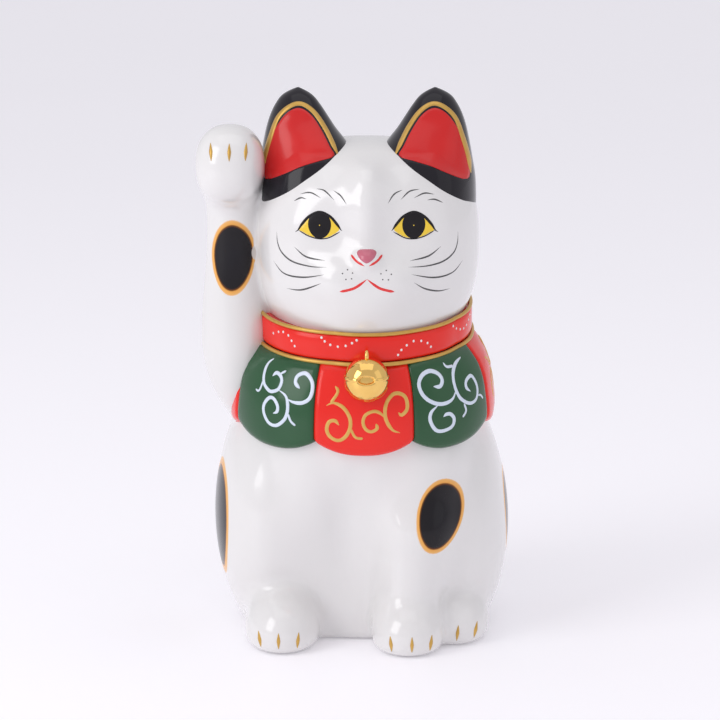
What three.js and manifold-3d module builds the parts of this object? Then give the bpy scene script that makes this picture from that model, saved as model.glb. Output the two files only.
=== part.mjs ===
// Beckoning cat figurine: hollow slip-cast earthenware, luted together, glazed and gilded.
// Millimetres, +Z up, the cat faces -Y, its raised right arm is on -X. Z = 0 is the foot plane.
import * as THREE from "three";
import { ParametricGeometry } from "three/addons/geometries/ParametricGeometry.js";
import { mergeVertices } from "three/addons/utils/BufferGeometryUtils.js";
import Module from "manifold-3d";

const wasm = await Module();
wasm.setup();

// ---- driving sizes ----
const BODY_WIDTH = 84; // torso across, without the haunches
const BODY_DEPTH = 90;
const NECK_Z = 105; // where the neck is, on the mid-plane
const HEAD_WIDTH = 74;
const HEAD_DEPTH = 69;
const HEAD_Z = 132; // widest level of the head
const CROWN_RISE = 32.3; // crown above the widest level
const CHIN_DROP = 38.5; // rounding of the lower head, below the widest level
const EAR_TIP_Z = 181.3;
const PAW_TOP_Z = 170.3;
const ARM_REACH = 53.8; // outermost line of the raised arm from the mid-plane
const WALL = 4.2; // cast wall
const GAP = 0.3; // joint line left between two pieces
const COLLAR_HEIGHT = 8.5;
const COLLAR_LEAST = 1.5; // least thickness of the collar band
const COLLAR_SLOPE = 0.11; // the collar rises towards the back
const PIPING_RADIUS = 0.65;
const BIB_PANELS = 8;
const PANEL_LEAST = 0.9; // least thickness of a panel's hem
const SCALLOP = 4.2; // cusp above the lowest point of a panel
const BELL_RADIUS = 7.3;
const EAR_DISH = 2.6; // depth of the hollow in front of each ear
const LINING_THICKNESS = 1.2;
const VENT_RADIUS = 4; // firing vent in the base

const HALF_BODY = BODY_WIDTH / 2;
const HALF_DEPTH = BODY_DEPTH / 2;
const HALF_HEAD = HEAD_WIDTH / 2;
const FACE = HEAD_DEPTH / 2;
const HEAD_X = 0.8; // the head stands a little off the mid-plane
const TORSO_X = -0.6;
const HEAD_Y = -3;
const COLLAR_BOTTOM = NECK_Z - 0.48 * COLLAR_HEIGHT;
const COLLAR_TOP = COLLAR_BOTTOM + COLLAR_HEIGHT;

// Sections up the torso: height / NECK_Z, half width / HALF_BODY, front and back / HALF_DEPTH.
const TORSO = [
  [-0.02, 0.905, 0.556, 0.956],
  [0, 0.912, 0.567, 0.956],
  [0.143, 0.964, 0.644, 0.989],
  [0.286, 0.993, 0.733, 1.011],
  [0.429, 1.005, 0.811, 0.989],
  [0.571, 0.995, 0.86, 0.944],
  [0.667, 0.971, 0.882, 0.9],
  [0.733, 0.964, 0.889, 0.862],
  [0.8, 0.925, 0.87, 0.829],
  [0.857, 0.865, 0.825, 0.785],
  [0.905, 0.805, 0.785, 0.745],
  [0.952, 0.75, 0.755, 0.705],
  [1, 0.715, 0.735, 0.68],
  [1.1, 0.7, 0.71, 0.655],
];
// The bib skirt the same way, its heights measured along the collar's slope.
const BIB = [
  [0.6, 0.98, 0.93, 0.95],
  [0.676, 1.03, 0.955, 0.93],
  [0.733, 1.052, 0.965, 0.91],
  [0.8, 1.035, 0.96, 0.875],
  [0.857, 1.008, 0.94, 0.84],
  [0.905, 0.957, 0.905, 0.8],
  [0.962, 0.845, 0.845, 0.765],
  [1.02, 0.81, 0.83, 0.75],
];
// The raised arm: height between its two ends, outer and inner edge / ARM_REACH, front and
// back / HALF_DEPTH.
const ARM_FOOT_Z = 0.633 * NECK_Z;
const ARM = [
  [0, 0.773, 0.747, -0.07, 0.04],
  [0.034, 0.81, 0.699, -0.2, 0.16],
  [0.092, 0.881, 0.632, -0.31, 0.22],
  [0.154, 0.942, 0.576, -0.4, 0.267],
  [0.226, 0.983, 0.548, -0.444, 0.278],
  [0.294, 1, 0.539, -0.456, 0.267],
  [0.361, 0.998, 0.545, -0.444, 0.222],
  [0.419, 0.991, 0.576, -0.422, 0.167],
  [0.487, 0.978, 0.61, -0.404, 0.111],
  [0.564, 0.965, 0.632, -0.396, 0.067],
  [0.65, 0.957, 0.636, -0.4, 0.033],
  [0.727, 0.959, 0.632, -0.407, 0.033],
  [0.804, 0.967, 0.632, -0.422, 0.022],
  [0.9, 0.967, 0.65, -0.422, 0],
];
// One ear: height between root and tip, inner and outer edge / HALF_HEAD, front and back / FACE.
const EAR_ROOT_Z = 0.806 * EAR_TIP_Z;
const EAR = [
  [0, 0.06, 0.973, -0.84, 0.44],
  [0.17, 0.065, 0.965, -0.8, 0.41],
  [0.341, 0.092, 0.938, -0.735, 0.35],
  [0.511, 0.181, 0.908, -0.61, 0.27],
  [0.625, 0.268, 0.884, -0.51, 0.2],
  [0.739, 0.341, 0.849, -0.405, 0.13],
  [0.838, 0.405, 0.803, -0.32, 0.06],
  [0.924, 0.473, 0.741, -0.235, 0.01],
  [0.983, 0.538, 0.67, -0.17, -0.04],
];
const EAR_TURN = 0.18; // the outer side of each ear is set back
// Outline of the dished front, round from the tip: across / HALF_HEAD and height between root and tip.
const DISH = [
  [0.575, 0.835],
  [0.475, 0.77],
  [0.385, 0.64],
  [0.31, 0.5],
  [0.27, 0.42],
  [0.4, 0.385],
  [0.56, 0.335],
  [0.72, 0.255],
  [0.88, 0.18],
  [0.915, 0.23],
  [0.895, 0.37],
  [0.845, 0.55],
  [0.765, 0.71],
  [0.67, 0.81],
];

// ---- helpers ----
const clamp = THREE.MathUtils.clamp;

function profile(rows, at) {
  const t = clamp(at, rows[0][0], rows[rows.length - 1][0]);
  let i = 0;
  while (i < rows.length - 2 && t > rows[i + 1][0]) i += 1;
  const step = (k) => rows[k + 1][0] - rows[k][0];
  const slope = (k, c) => (rows[k + 1][c] - rows[k][c]) / step(k);
  const tangent = (k, c) => {
    if (k === 0) return slope(0, c);
    if (k === rows.length - 1) return slope(k - 1, c);
    return (slope(k - 1, c) * step(k) + slope(k, c) * step(k - 1)) / (step(k) + step(k - 1));
  };
  const h = step(i);
  const s = (t - rows[i][0]) / h;
  return rows[i].slice(1).map((value, n) => {
    const c = n + 1;
    const start = (1 + 2 * s) * (1 - s) ** 2 * value + s * (1 - s) ** 2 * h * tangent(i, c);
    const end = s * s * (3 - 2 * s) * rows[i + 1][c] + s * s * (s - 1) * h * tangent(i + 1, c);
    return start + end;
  });
}

function blend(a, b, k) {
  const h = Math.max(k - Math.abs(a - b), 0) / k;
  return Math.min(a, b) - h * h * k * 0.25;
}
const carve = (a, b, k) => -blend(-a, -b, k);

function oval(x, y, z, centre, radii) {
  const p = [x - centre[0], y - centre[1], z - centre[2]];
  const k0 = Math.hypot(p[0] / radii[0], p[1] / radii[1], p[2] / radii[2]);
  const k1 = Math.hypot(p[0] / radii[0] ** 2, p[1] / radii[1] ** 2, p[2] / radii[2] ** 2);
  return (k0 * (k0 - 1)) / Math.max(k1, 1e-9);
}

function dome(x, y, z, centre, radii, plan, upright) {
  const p = [x - centre[0], y - centre[1], z - centre[2]];
  const [a, b, c] = p.map((value, i) => Math.abs(value / radii[i]));
  const level = (a ** plan + b ** plan) ** (upright / plan);
  return Math.hypot(...p) * (1 - 1 / Math.max((level + c ** upright) ** (1 / upright), 1e-6));
}

function limb(x, y, z, from, to, startRadius, endRadius) {
  const axis = to.map((value, i) => value - from[i]);
  const p = [x - from[0], y - from[1], z - from[2]];
  const along = (p[0] * axis[0] + p[1] * axis[1] + p[2] * axis[2]) / axis.reduce((s, v) => s + v * v, 0);
  const t = clamp(along, 0, 1);
  const away = Math.hypot(...p.map((value, i) => value - t * axis[i]));
  return away - (startRadius + (endRadius - startRadius) * t);
}

function section(x, y, left, right, front, back, power) {
  const dx = x - (left + right) / 2;
  const dy = y - (front + back) / 2;
  const a = (right - left) / 2;
  const b = (back - front) / 2;
  const q = (Math.abs(dx / a) ** power + Math.abs(dy / b) ** power) ** (1 / power);
  return Math.hypot(dx, dy) * (1 - 1 / Math.max(q, 1e-6));
}

// ---- the shape of the clay: each function is negative inside and zero on the glaze ----
function column(x, y, z, rows, at) {
  const [half, front, back] = profile(rows, at / NECK_Z);
  const reach = half * HALF_BODY;
  return section(x, y, TORSO_X - reach, TORSO_X + reach, -front * HALF_DEPTH, back * HALF_DEPTH, 2.25);
}

const FOOT_LENGTH = 0.36 * HALF_DEPTH;
function bodyShape(x, y, z) {
  let d = column(x, y, z, TORSO, z);
  d = carve(d, z - 1.09 * NECK_Z, 3);
  const right = [-0.75 * HALF_BODY, 0.09 * HALF_DEPTH, 0.352 * NECK_Z];
  const left = [0.726 * HALF_BODY, 0.11 * HALF_DEPTH, 0.314 * NECK_Z];
  d = blend(d, oval(x, y, z, right, [0.44 * HALF_BODY, 0.8 * HALF_DEPTH, 0.362 * NECK_Z]), 10);
  d = blend(d, oval(x, y, z, left, [0.429 * HALF_BODY, 0.78 * HALF_DEPTH, 0.352 * NECK_Z]), 10);
  const elbow = [0.4 * HALF_BODY, -0.655 * HALF_DEPTH, 0.38 * NECK_Z];
  const chest = [0.46 * HALF_BODY, -0.56 * HALF_DEPTH, 0.57 * NECK_Z];
  const wrist = [0.345 * HALF_BODY, -0.665 * HALF_DEPTH, 0.114 * NECK_Z];
  const upper = limb(x, y, z, chest, elbow, 0.262 * HALF_BODY, 0.276 * HALF_BODY);
  const lower = limb(x, y, z, elbow, wrist, 0.276 * HALF_BODY, 0.243 * HALF_BODY);
  d = blend(d, blend(upper, lower, 4), 7);
  const hollow = [-0.167 * HALF_BODY, -1.02 * HALF_DEPTH, 0.21 * NECK_Z];
  d = carve(d, -oval(x, y, z, hollow, [0.214 * HALF_BODY, 0.355 * HALF_DEPTH, 0.324 * NECK_Z]), 12);
  for (const [cx, cy, wide, long, tall, soft] of FEET) {
    const centre = [cx * HALF_BODY, cy * HALF_DEPTH, 0.057 * NECK_Z];
    d = blend(d, oval(x, y, z, centre, [wide * HALF_BODY, long * FOOT_LENGTH, tall * NECK_Z]), soft);
  }
  return carve(d, -z, 2.5);
}
// Feet: centre x / HALF_BODY, centre y / HALF_DEPTH, half width / HALF_BODY, half length /
// FOOT_LENGTH, height / NECK_Z and the softness of the joint with the body.
const FEET = [
  [0.345, -0.733, 0.286, 0.9, 0.11, 4],
  [-0.638, -0.589, 0.298, 1.11, 0.119, 6],
  [0.702, -0.422, 0.286, 0.957, 0.114, 4],
];

const EYE_LINE = HEAD_Z + 0.23 * CROWN_RISE;
function headShape(x, y, z) {
  const rise = z > HEAD_Z ? CROWN_RISE : CHIN_DROP;
  let d = dome(x, y, z, [HEAD_X, HEAD_Y, HEAD_Z], [HALF_HEAD, FACE, rise], 2.25, 2.6);
  for (const side of [-1, 1]) {
    const cheek = [HEAD_X + side * 0.19 * HALF_HEAD, HEAD_Y - 0.884 * FACE, HEAD_Z - 0.25 * CHIN_DROP];
    d = blend(d, oval(x, y, z, cheek, [8.5, 0.209 * FACE, 7.5]), 8);
  }
  const chin = [HEAD_X, HEAD_Y - 0.84 * FACE, HEAD_Z - 0.45 * CHIN_DROP];
  d = blend(d, oval(x, y, z, chin, [10, 0.209 * FACE, 7]), 8);
  const jowl = [HEAD_X, HEAD_Y - 0.5 * FACE, HEAD_Z - 0.61 * CHIN_DROP];
  d = blend(d, oval(x, y, z, jowl, [0.6 * HALF_HEAD, 0.475 * FACE, 0.354 * CHIN_DROP]), 6);
  const bridge = [HEAD_X, HEAD_Y - 0.8 * FACE, EYE_LINE + 2];
  d = blend(d, oval(x, y, z, bridge, [5, 0.232 * FACE, 16]), 8);
  const nose = [HEAD_X, HEAD_Y - 1.06 * FACE, HEAD_Z - 0.04 * CHIN_DROP];
  d = blend(d, oval(x, y, z, nose, [3.8, 3.2, 2.9]), 3.5);
  for (const side of [-1, 1]) {
    const socket = [HEAD_X + side * 0.39 * HALF_HEAD, HEAD_Y - 1.22 * FACE, EYE_LINE];
    d = carve(d, -oval(x, y, z, socket, [11, 0.215 * FACE, 7]), 9);
  }
  return d;
}
const neckline = (x, y, z) => blend(headShape(x, y, z), bodyShape(x, y, z), 3);
const headPiece = (x, y, z) => Math.max(neckline(x, y, z), NECK_Z - 6 + COLLAR_SLOPE * y - z);

function armRow(z) {
  const [outer, inner, front, back] = profile(ARM, (z - ARM_FOOT_Z) / (PAW_TOP_Z - ARM_FOOT_Z));
  return [-outer * ARM_REACH, -inner * ARM_REACH, front * HALF_DEPTH, back * HALF_DEPTH];
}
const PAW = [-0.807 * ARM_REACH, -0.344 * HALF_DEPTH, PAW_TOP_Z - 13];
function armShape(x, y, z) {
  const [left, right, front, back] = armRow(z);
  let d = section(x, y, left, right, front, back, 2.1);
  d = carve(d, ARM_FOOT_Z - z, 3);
  d = carve(d, z - PAW[2], 6);
  return blend(d, dome(x, y, z, PAW, [0.208 * ARM_REACH, 0.3 * HALF_DEPTH, 13], 2.3, 2.3), 5);
}

function earRow(z) {
  const [inner, outer, front, back] = profile(EAR, (z - EAR_ROOT_Z) / (EAR_TIP_Z - EAR_ROOT_Z));
  return [inner * HALF_HEAD, outer * HALF_HEAD, front * FACE, back * FACE];
}
function earShape(x, y, z) {
  const [inner, outer, front, back] = earRow(z);
  const turned = y - EAR_TURN * (x - HEAD_X - (inner + outer) / 2);
  return carve(section(x - HEAD_X, turned, inner, outer, front, back, 2.05), z - EAR_TIP_Z, 4);
}

const sheared = (y, level) => level + COLLAR_SLOPE * y;
const bibShape = (x, y, z) => column(x, y, z, BIB, z - COLLAR_SLOPE * y);

// ---- surfaces turned into closed solids ----
// The outermost place along a direction where a shape stands at the given level.
function reach(shape, level, start, direction, far) {
  const at = (r) => shape(...start.map((value, i) => value + r * direction[i])) - level;
  let outside = far;
  let inside = far;
  while (inside > 0 && at(inside) > 0) {
    outside = inside;
    inside -= 0.75;
  }
  for (let n = 0; n < 22; n += 1) {
    const middle = (inside + outside) / 2;
    if (at(middle) > 0) outside = middle;
    else inside = middle;
  }
  return Math.max(inside, 0.02);
}

function solid(geometry) {
  const bare = geometry.clone();
  bare.deleteAttribute("normal");
  bare.deleteAttribute("uv");
  const merged = mergeVertices(bare, 1e-4);
  const faces = [];
  for (let i = 0; i < merged.index.count; i += 3) {
    const [a, b, c] = merged.index.array.slice(i, i + 3);
    if (a !== b && b !== c && c !== a) faces.push(a, b, c);
  }
  const vertProperties = merged.attributes.position.array;
  const build = (triVerts) => new wasm.Manifold(new wasm.Mesh({ numProp: 3, vertProperties, triVerts }));
  const made = build(new Uint32Array(faces));
  if (made.volume() > 0) return made;
  return build(new Uint32Array(faces.reverse()));
}

// Turns round an angle, closer together towards the front (angle 0) where the detail is.
const frontward = (u, pull) => {
  const turn = (u % 1) * 2 * Math.PI;
  return turn - pull * Math.sin(turn);
};

// A solid made of level rings: levels is the list of heights, the two ends are closed.
function ringed(shape, level, levels, axisAt, slices, pull = 0, far = 75) {
  const last = levels.length + 1;
  const surface = (u, v, target) => {
    const row = Math.round(v * last);
    const z = levels[clamp(row - 1, 0, levels.length - 1)];
    const [cx, cy] = axisAt(z);
    if (row === 0 || row === last) {
      target.set(cx, cy, z);
      return;
    }
    const angle = frontward(u, pull);
    const direction = [Math.sin(angle), -Math.cos(angle), 0];
    const r = reach(shape, level, [cx, cy, z], direction, far);
    target.set(cx + r * direction[0], cy + r * direction[1], z);
  };
  return solid(new ParametricGeometry(surface, slices, last));
}

// A solid seen from its own centre: tilts is the list of angles from straight up.
function round(shape, level, centre, tilts, slices, pull = 0, far = 60) {
  const last = tilts.length - 1;
  const surface = (u, v, target) => {
    const tilt = THREE.MathUtils.degToRad(tilts[Math.round(v * last)]);
    const angle = frontward(u, pull);
    const flat = Math.sin(tilt) < 1e-6 ? 0 : Math.sin(tilt);
    const direction = [flat * Math.sin(angle), -flat * Math.cos(angle), Math.cos(tilt)];
    const r = reach(shape, level, centre, direction, far);
    target.set(...centre.map((value, i) => value + r * direction[i]));
  };
  return solid(new ParametricGeometry(surface, slices, last));
}

// A loop of points carried along a path. Open ends are closed with a fan.
function carried(loopAt, loopPoints, steps, closed) {
  const rows = closed ? steps : steps + 2;
  const surface = (u, v, target) => {
    const row = Math.round(v * rows);
    if (closed) {
      target.copy(loopAt((row % steps) / steps)[Math.round(u * loopPoints) % loopPoints]);
      return;
    }
    const loop = loopAt(clamp(row - 1, 0, steps) / steps);
    if (row === 0 || row === rows) {
      loop.forEach((point) => target.addScaledVector(point, 1 / loop.length));
      return;
    }
    target.copy(loop[Math.round(u * loopPoints) % loopPoints]);
  };
  const cleared = (u, v, target) => surface(u, v, target.set(0, 0, 0));
  return solid(new ParametricGeometry(cleared, loopPoints, rows));
}

const range = (from, to, count) => Array.from({ length: count }, (_, i) => from + ((to - from) * i) / (count - 1));
const largest = (made) => made.decompose().sort((a, b) => b.volume() - a.volume())[0];

const finishes = {
  white: { color: 0xf3efee, roughness: 0.18, metalness: 0 },
  black: { color: 0x141218, roughness: 0.15, metalness: 0 },
  red: { color: 0xe0281c, roughness: 0.25, metalness: 0 },
  green: { color: 0x24563a, roughness: 0.25, metalness: 0 },
  gold: { color: 0xc99a3c, roughness: 0.35, metalness: 0.8 },
  bell: { color: 0xe2b04a, roughness: 0.15, metalness: 1 },
  pink: { color: 0xc96a80, roughness: 0.3, metalness: 0 },
};
const figurine = new THREE.Group();
figurine.name = "beckoning_cat_figurine";
function add(name, made, finish) {
  const { vertProperties, triVerts } = made.simplify(0.01).getMesh();
  const geometry = new THREE.BufferGeometry();
  geometry.setAttribute("position", new THREE.BufferAttribute(new Float32Array(vertProperties), 3));
  geometry.setIndex(new THREE.BufferAttribute(new Uint32Array(triVerts), 1));
  const flat = geometry.toNonIndexed();
  flat.computeVertexNormals();
  const mesh = new THREE.Mesh(flat, new THREE.MeshStandardMaterial(finishes[finish]));
  mesh.name = name;
  figurine.add(mesh);
}

// ---- castings ----
const BODY_LEVELS = [0, 0.006, 0.018, 0.04, 0.07, 0.105, 0.14, 0.175, 0.22, 0.29, 0.37, 0.45, 0.52, 0.59];
const NECK_LEVELS = [0.66, 0.73, 0.8, 0.86, 0.91, 0.96, 1, 1.04, 1.075];
const bodyLevels = [...BODY_LEVELS, ...NECK_LEVELS].map((part) => part * NECK_Z);
const bodyAxis = () => [TORSO_X, 0.45 * HALF_DEPTH];
const bodyOuter = ringed(bodyShape, 0, bodyLevels, bodyAxis, 60, 0.5, 90);
const bodyReserve = ringed(bodyShape, GAP, bodyLevels, bodyAxis, 60, 0.5, 90);
const inner = range(WALL, 1.06 * NECK_Z, 14);
const bodyHollow = ringed(bodyShape, -WALL, inner, bodyAxis, 26);

// The plane where head and body castings meet, hidden by the collar.
function above(level) {
  const block = new THREE.BoxGeometry(4 * BODY_WIDTH, 4 * BODY_DEPTH, 2 * EAR_TIP_Z);
  block.translate(0, 0, EAR_TIP_Z);
  block.rotateX(Math.atan(COLLAR_SLOPE));
  block.translate(0, 0, level);
  return solid(block);
}
const seam = NECK_Z;
const vent = new THREE.CylinderGeometry(VENT_RADIUS, VENT_RADIUS, 4 * WALL, 20);
vent.rotateX(Math.PI / 2);
vent.translate(TORSO_X, 0.55 * HALF_DEPTH, 0);
const shoulderHole = new THREE.CylinderGeometry(0.1 * HALF_BODY, 0.1 * HALF_BODY, 0.6 * HALF_BODY, 16);
shoulderHole.rotateZ(Math.PI / 2);
shoulderHole.translate(-0.85 * HALF_BODY, -0.08 * HALF_DEPTH, 0.81 * NECK_Z);

const TILTS = [0, 12, 24, 35, 45, 54, 62, 69, 75, 80, 84, 88, 92, 96, 101, 107, 113, 119, 124, 128, 132, 136, 140, 145, 152, 165, 180];
const headCentre = [HEAD_X, HEAD_Y, HEAD_Z];
const headOuter = round(headPiece, 0, headCentre, TILTS, 52, 0.55).intersect(above(seam + GAP / 2));
const headReserve = round(headPiece, GAP, headCentre, TILTS, 52, 0.55).intersect(above(seam - 2));
const headHollow = round(headPiece, -WALL, headCentre, range(0, 180, 13), 26);

const earLevels = [0, 0.12, 0.25, 0.38, 0.5, 0.61, 0.71, 0.8, 0.88, 0.94, 0.98, 0.996];
const earZ = (part) => EAR_ROOT_Z + part * (EAR_TIP_Z - EAR_ROOT_Z);
const earAxis = (z) => {
  const [inside, outside, front, back] = earRow(z);
  return [HEAD_X + (inside + outside) / 2, (front + back) / 2];
};
const ear = (level) => ringed(earShape, level, earLevels.map(earZ), earAxis, 26);
const mirrored = (made) => made.translate([-HEAD_X, 0, 0]).mirror([1, 0, 0]).translate([HEAD_X, 0, 0]);

const headSeat = headReserve;
const earWhole = ear(0).subtract(headSeat);
const onEar = (across, part) => new THREE.Vector3(HEAD_X + across * HALF_HEAD, 0, earZ(part));
const dishEdge = new THREE.CatmullRomCurve3(DISH.map(([across, part]) => onEar(across, part)), true);
const dishMiddle = onEar(0.62, 0.45);
// Where the ear's front surface lies at a place seen from the front.
function earFront(x, z) {
  const [inside, outside, front, back] = earRow(z);
  const start = [x, (front + back) / 2 + EAR_TURN * (x - HEAD_X - (inside + outside) / 2), z];
  return start[1] - reach(earShape, 0, start, [0, -1, 0], 40);
}
// A plate filling the dish outline: each side is given by its depth below the ear's front.
function plate(inset, front, back) {
  const rings = [0, 0.4, 0.7, 0.88, 1];
  const rows = 2 * rings.length - 1;
  const surface = (u, v, target) => {
    const row = Math.round(v * rows);
    const ring = rings[Math.min(row, rows - row)];
    const depth = row < rings.length ? back : front;
    const edge = dishEdge.getPoint(u % 1);
    const out = edge.clone().sub(dishMiddle);
    const place = dishMiddle.clone().addScaledVector(out, ring * (1 - inset / out.length()));
    target.set(place.x, earFront(place.x, place.z) + depth(ring), place.z);
  };
  return solid(new ParametricGeometry(surface, 20, rows));
}
const dished = (ring) => EAR_DISH * (1 - ring * ring);
const dishCut = plate(0, () => -6, (ring) => dished(ring) + LINING_THICKNESS + GAP);
const earBody = largest(earWhole.subtract(dishCut));
const liningPlate = plate(GAP, dished, (ring) => dished(ring) + LINING_THICKNESS);
const lining = largest(liningPlate.subtract(headSeat));

// Gilt line round the sides and top of the dish, a flat bead that thins towards both feet.
function dishLine() {
  const points = [5, 4, 3, 2, 1, 0, 13, 12, 11, 10, 9].map((i) => {
    const edge = onEar(...DISH[i]);
    const out = edge.clone().sub(dishMiddle).setLength(GAP + 0.75);
    const place = edge.add(i === 5 ? new THREE.Vector3(-1.4, 0, 1.2) : out);
    place.y = earFront(place.x, place.z);
    return place;
  });
  const path = new THREE.CatmullRomCurve3(points, false, "centripetal");
  const loopAt = (t) => {
    const centre = path.getPointAt(t);
    const along = path.getTangentAt(t);
    const out = new THREE.Vector3(0, -1, 0);
    const across = new THREE.Vector3().crossVectors(along, out).normalize();
    const radius = 0.3 + 0.35 * Math.sin(Math.PI * t);
    return range(0, 5, 6).map((k) => {
      const turn = (k / 6) * 2 * Math.PI;
      const point = centre.clone().addScaledVector(across, radius * Math.cos(turn));
      return point.addScaledVector(out, 0.9 * Math.sin(turn));
    });
  };
  return carried(loopAt, 6, 22, false);
}
const line = largest(dishLine().subtract(ear(GAP)).subtract(headSeat));

const armAxis = (z) => {
  const [left, right, front, back] = armRow(z);
  const lean = THREE.MathUtils.smoothstep(z, PAW[2] - 14, PAW[2]);
  const x = THREE.MathUtils.lerp((left + right) / 2, PAW[0], lean);
  return [x, THREE.MathUtils.lerp((front + back) / 2, PAW[1], lean)];
};
const ARM_LEVELS = [0.006, 0.025, 0.055, 0.1, 0.16, 0.23, 0.3, 0.38, 0.46, 0.55, 0.64, 0.71, 0.745];
const PAW_LEVELS = [0.77, 0.8, 0.84, 0.88, 0.92, 0.955, 0.98, 0.994, 0.9985];
const armZ = (part) => ARM_FOOT_Z + part * (PAW_TOP_Z - ARM_FOOT_Z);
const armLevels = [...ARM_LEVELS, ...PAW_LEVELS].map(armZ);
const armWhole = ringed(armShape, 0, armLevels, armAxis, 24, 0, 30);
const armReserve = ringed(armShape, GAP, armLevels, armAxis, 24, 0, 30);
const armHollow = ringed(armShape, -WALL + 0.4, range(armZ(0.12), armZ(0.93), 10), armAxis, 12, 0, 30);
const earsReserve = ear(GAP).add(mirrored(ear(GAP)));
const armBody = largest(
  armWhole.subtract(bodyReserve).subtract(headReserve).subtract(earsReserve).subtract(armHollow),
);

add(
  "body_casting",
  largest(
    bodyOuter.subtract(bodyHollow).subtract(above(seam - GAP / 2)).subtract(solid(vent)).subtract(solid(shoulderHole)),
  ),
  "white",
);
add("head_casting", largest(headOuter.subtract(headHollow)), "white");
add("raised_arm_casting", armBody, "white");
add("left_ear", earBody, "black");
add("right_ear", mirrored(earBody), "black");
add("left_ear_lining", lining, "red");
add("right_ear_lining", mirrored(lining), "red");
add("left_ear_gilt_line", line, "gold");
add("right_ear_gilt_line", largest(mirrored(line).subtract(armReserve)), "gold");

// Short bobbed tail lying against the rump.
const tailCentre = [0.2 * HALF_BODY, 0.98 * HALF_DEPTH, 0.2 * NECK_Z];
const tailShape = (x, y, z) => dome(x, y, z, tailCentre, [9, 8.5, 14], 2.2, 2.2);
add("tail", largest(round(tailShape, 0, tailCentre, range(0, 180, 9), 18, 0, 20).subtract(bodyReserve)), "black");

// ---- collar ----
const SEAT = GAP + 0.4; // room behind pieces laid round the neck
const COLLAR_AXIS = [0, -2, 0];
function spoke(shape, level, angle, height) {
  const start = [COLLAR_AXIS[0], COLLAR_AXIS[1], sheared(COLLAR_AXIS[1], height)];
  const direction = [Math.sin(angle), -Math.cos(angle), -COLLAR_SLOPE * Math.cos(angle)];
  const r = reach(shape, level, start, direction, 75);
  return { start, direction, r };
}
const onSpoke = ({ start, direction }, r, lift = 0) =>
  new THREE.Vector3(start[0] + r * direction[0], start[1] + r * direction[1], start[2] + r * direction[2] + lift);
const bandFace = (x, y, z) => column(x, y, z, [[0, 0.825, 0.846, 0.769], [2, 0.825, 0.846, 0.769]], z);
function bandOuter(angle) {
  const under = [COLLAR_BOTTOM, COLLAR_TOP].map((height) => spoke(neckline, SEAT, angle, height).r);
  return Math.max(spoke(bandFace, 0, angle, NECK_Z).r, Math.max(...under) + COLLAR_LEAST);
}

function bandLoop(t) {
  const angle = t * 2 * Math.PI;
  const outer = bandOuter(angle);
  const face = [0, 0.12, 0.5, 0.88, 1].map((part) => {
    const height = COLLAR_BOTTOM + part * COLLAR_HEIGHT;
    const ends = part === 0 || part === 1;
    return onSpoke(spoke(neckline, 0, angle, height), outer - (ends ? 0.9 : 0));
  });
  const back = [1, 0.5, 0].map((part) => {
    const found = spoke(neckline, SEAT, angle, COLLAR_BOTTOM + part * COLLAR_HEIGHT);
    return onSpoke(found, found.r);
  });
  return [...face, ...back];
}
const band = carried(bandLoop, 8, 44, true);

function pipingLoop(height, t, proud, out) {
  const angle = t * 2 * Math.PI;
  const centre = bandOuter(angle) + out;
  const found = spoke(neckline, 0, angle, height);
  return range(0, 4, 5).map((k) => {
    const turn = (k / 5) * 2 * Math.PI;
    return onSpoke(found, centre + proud * Math.cos(turn), proud * Math.sin(turn));
  });
}
const upperHeight = COLLAR_TOP + GAP + PIPING_RADIUS;
const lowerHeight = COLLAR_BOTTOM - GAP - PIPING_RADIUS;
const upperPiping = carried((t) => pipingLoop(upperHeight, t, PIPING_RADIUS, -0.3), 5, 44, true);
const lowerPiping = carried((t) => pipingLoop(lowerHeight, t, PIPING_RADIUS, 0.65), 5, 44, true);
add("collar_band", largest(band.subtract(armReserve)), "red");
add("collar_upper_piping", largest(upperPiping.subtract(armReserve).subtract(headReserve)), "gold");
add("collar_lower_piping", largest(lowerPiping.subtract(armReserve)), "gold");

// ---- bib: panels lie edge to edge round the neck, each with a scalloped hem ----
const HEM = 0.676 * NECK_Z;
const BIB_TOP = lowerHeight - PIPING_RADIUS - GAP;
const panelAngle = (2 * Math.PI) / BIB_PANELS;
function panelLoop(number, t) {
  const joint = GAP / 2 / HALF_BODY;
  const start = (number - 0.5) * panelAngle + joint;
  const angle = start + t * (panelAngle - 2 * joint);
  const hem = HEM + SCALLOP * Math.abs(2 * t - 1) ** 2.4;
  const face = [0, 0.06, 0.28, 0.52, 0.76, 0.95, 1].map((part) => {
    const height = hem + part * (BIB_TOP - hem);
    const edge = { 0: 2.2, 0.06: 0.6, 1: 0.8 }[part] ?? 0;
    const found = spoke(bibShape, 0, angle, height);
    const least = spoke(bodyShape, SEAT, angle, height).r + PANEL_LEAST;
    return onSpoke(found, Math.max(found.r - edge, least));
  });
  const back = [1, 0.75, 0.5, 0.25, 0].map((part) => {
    const found = spoke(bodyShape, SEAT, angle, hem + part * (BIB_TOP - hem));
    return onSpoke(found, found.r);
  });
  return [...face, ...back];
}
const panel = (number) => carried((t) => panelLoop(number, t), 11, 5, false);
const PANELS = [
  ["bib_panel_front", 0, "red"],
  ["bib_panel_front_left", 1, "green"],
  ["bib_panel_left", 2, "red"],
  ["bib_panel_back_left", 3, "green"],
  ["bib_panel_back", 4, "red"],
  ["bib_panel_back_right", 5, "green"],
  ["bib_panel_right", 6, "red"],
  ["bib_panel_front_right", 7, "green"],
];
for (const [name, number, finish] of PANELS) {
  add(name, largest(panel(number).subtract(armReserve)), finish);
}

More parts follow.
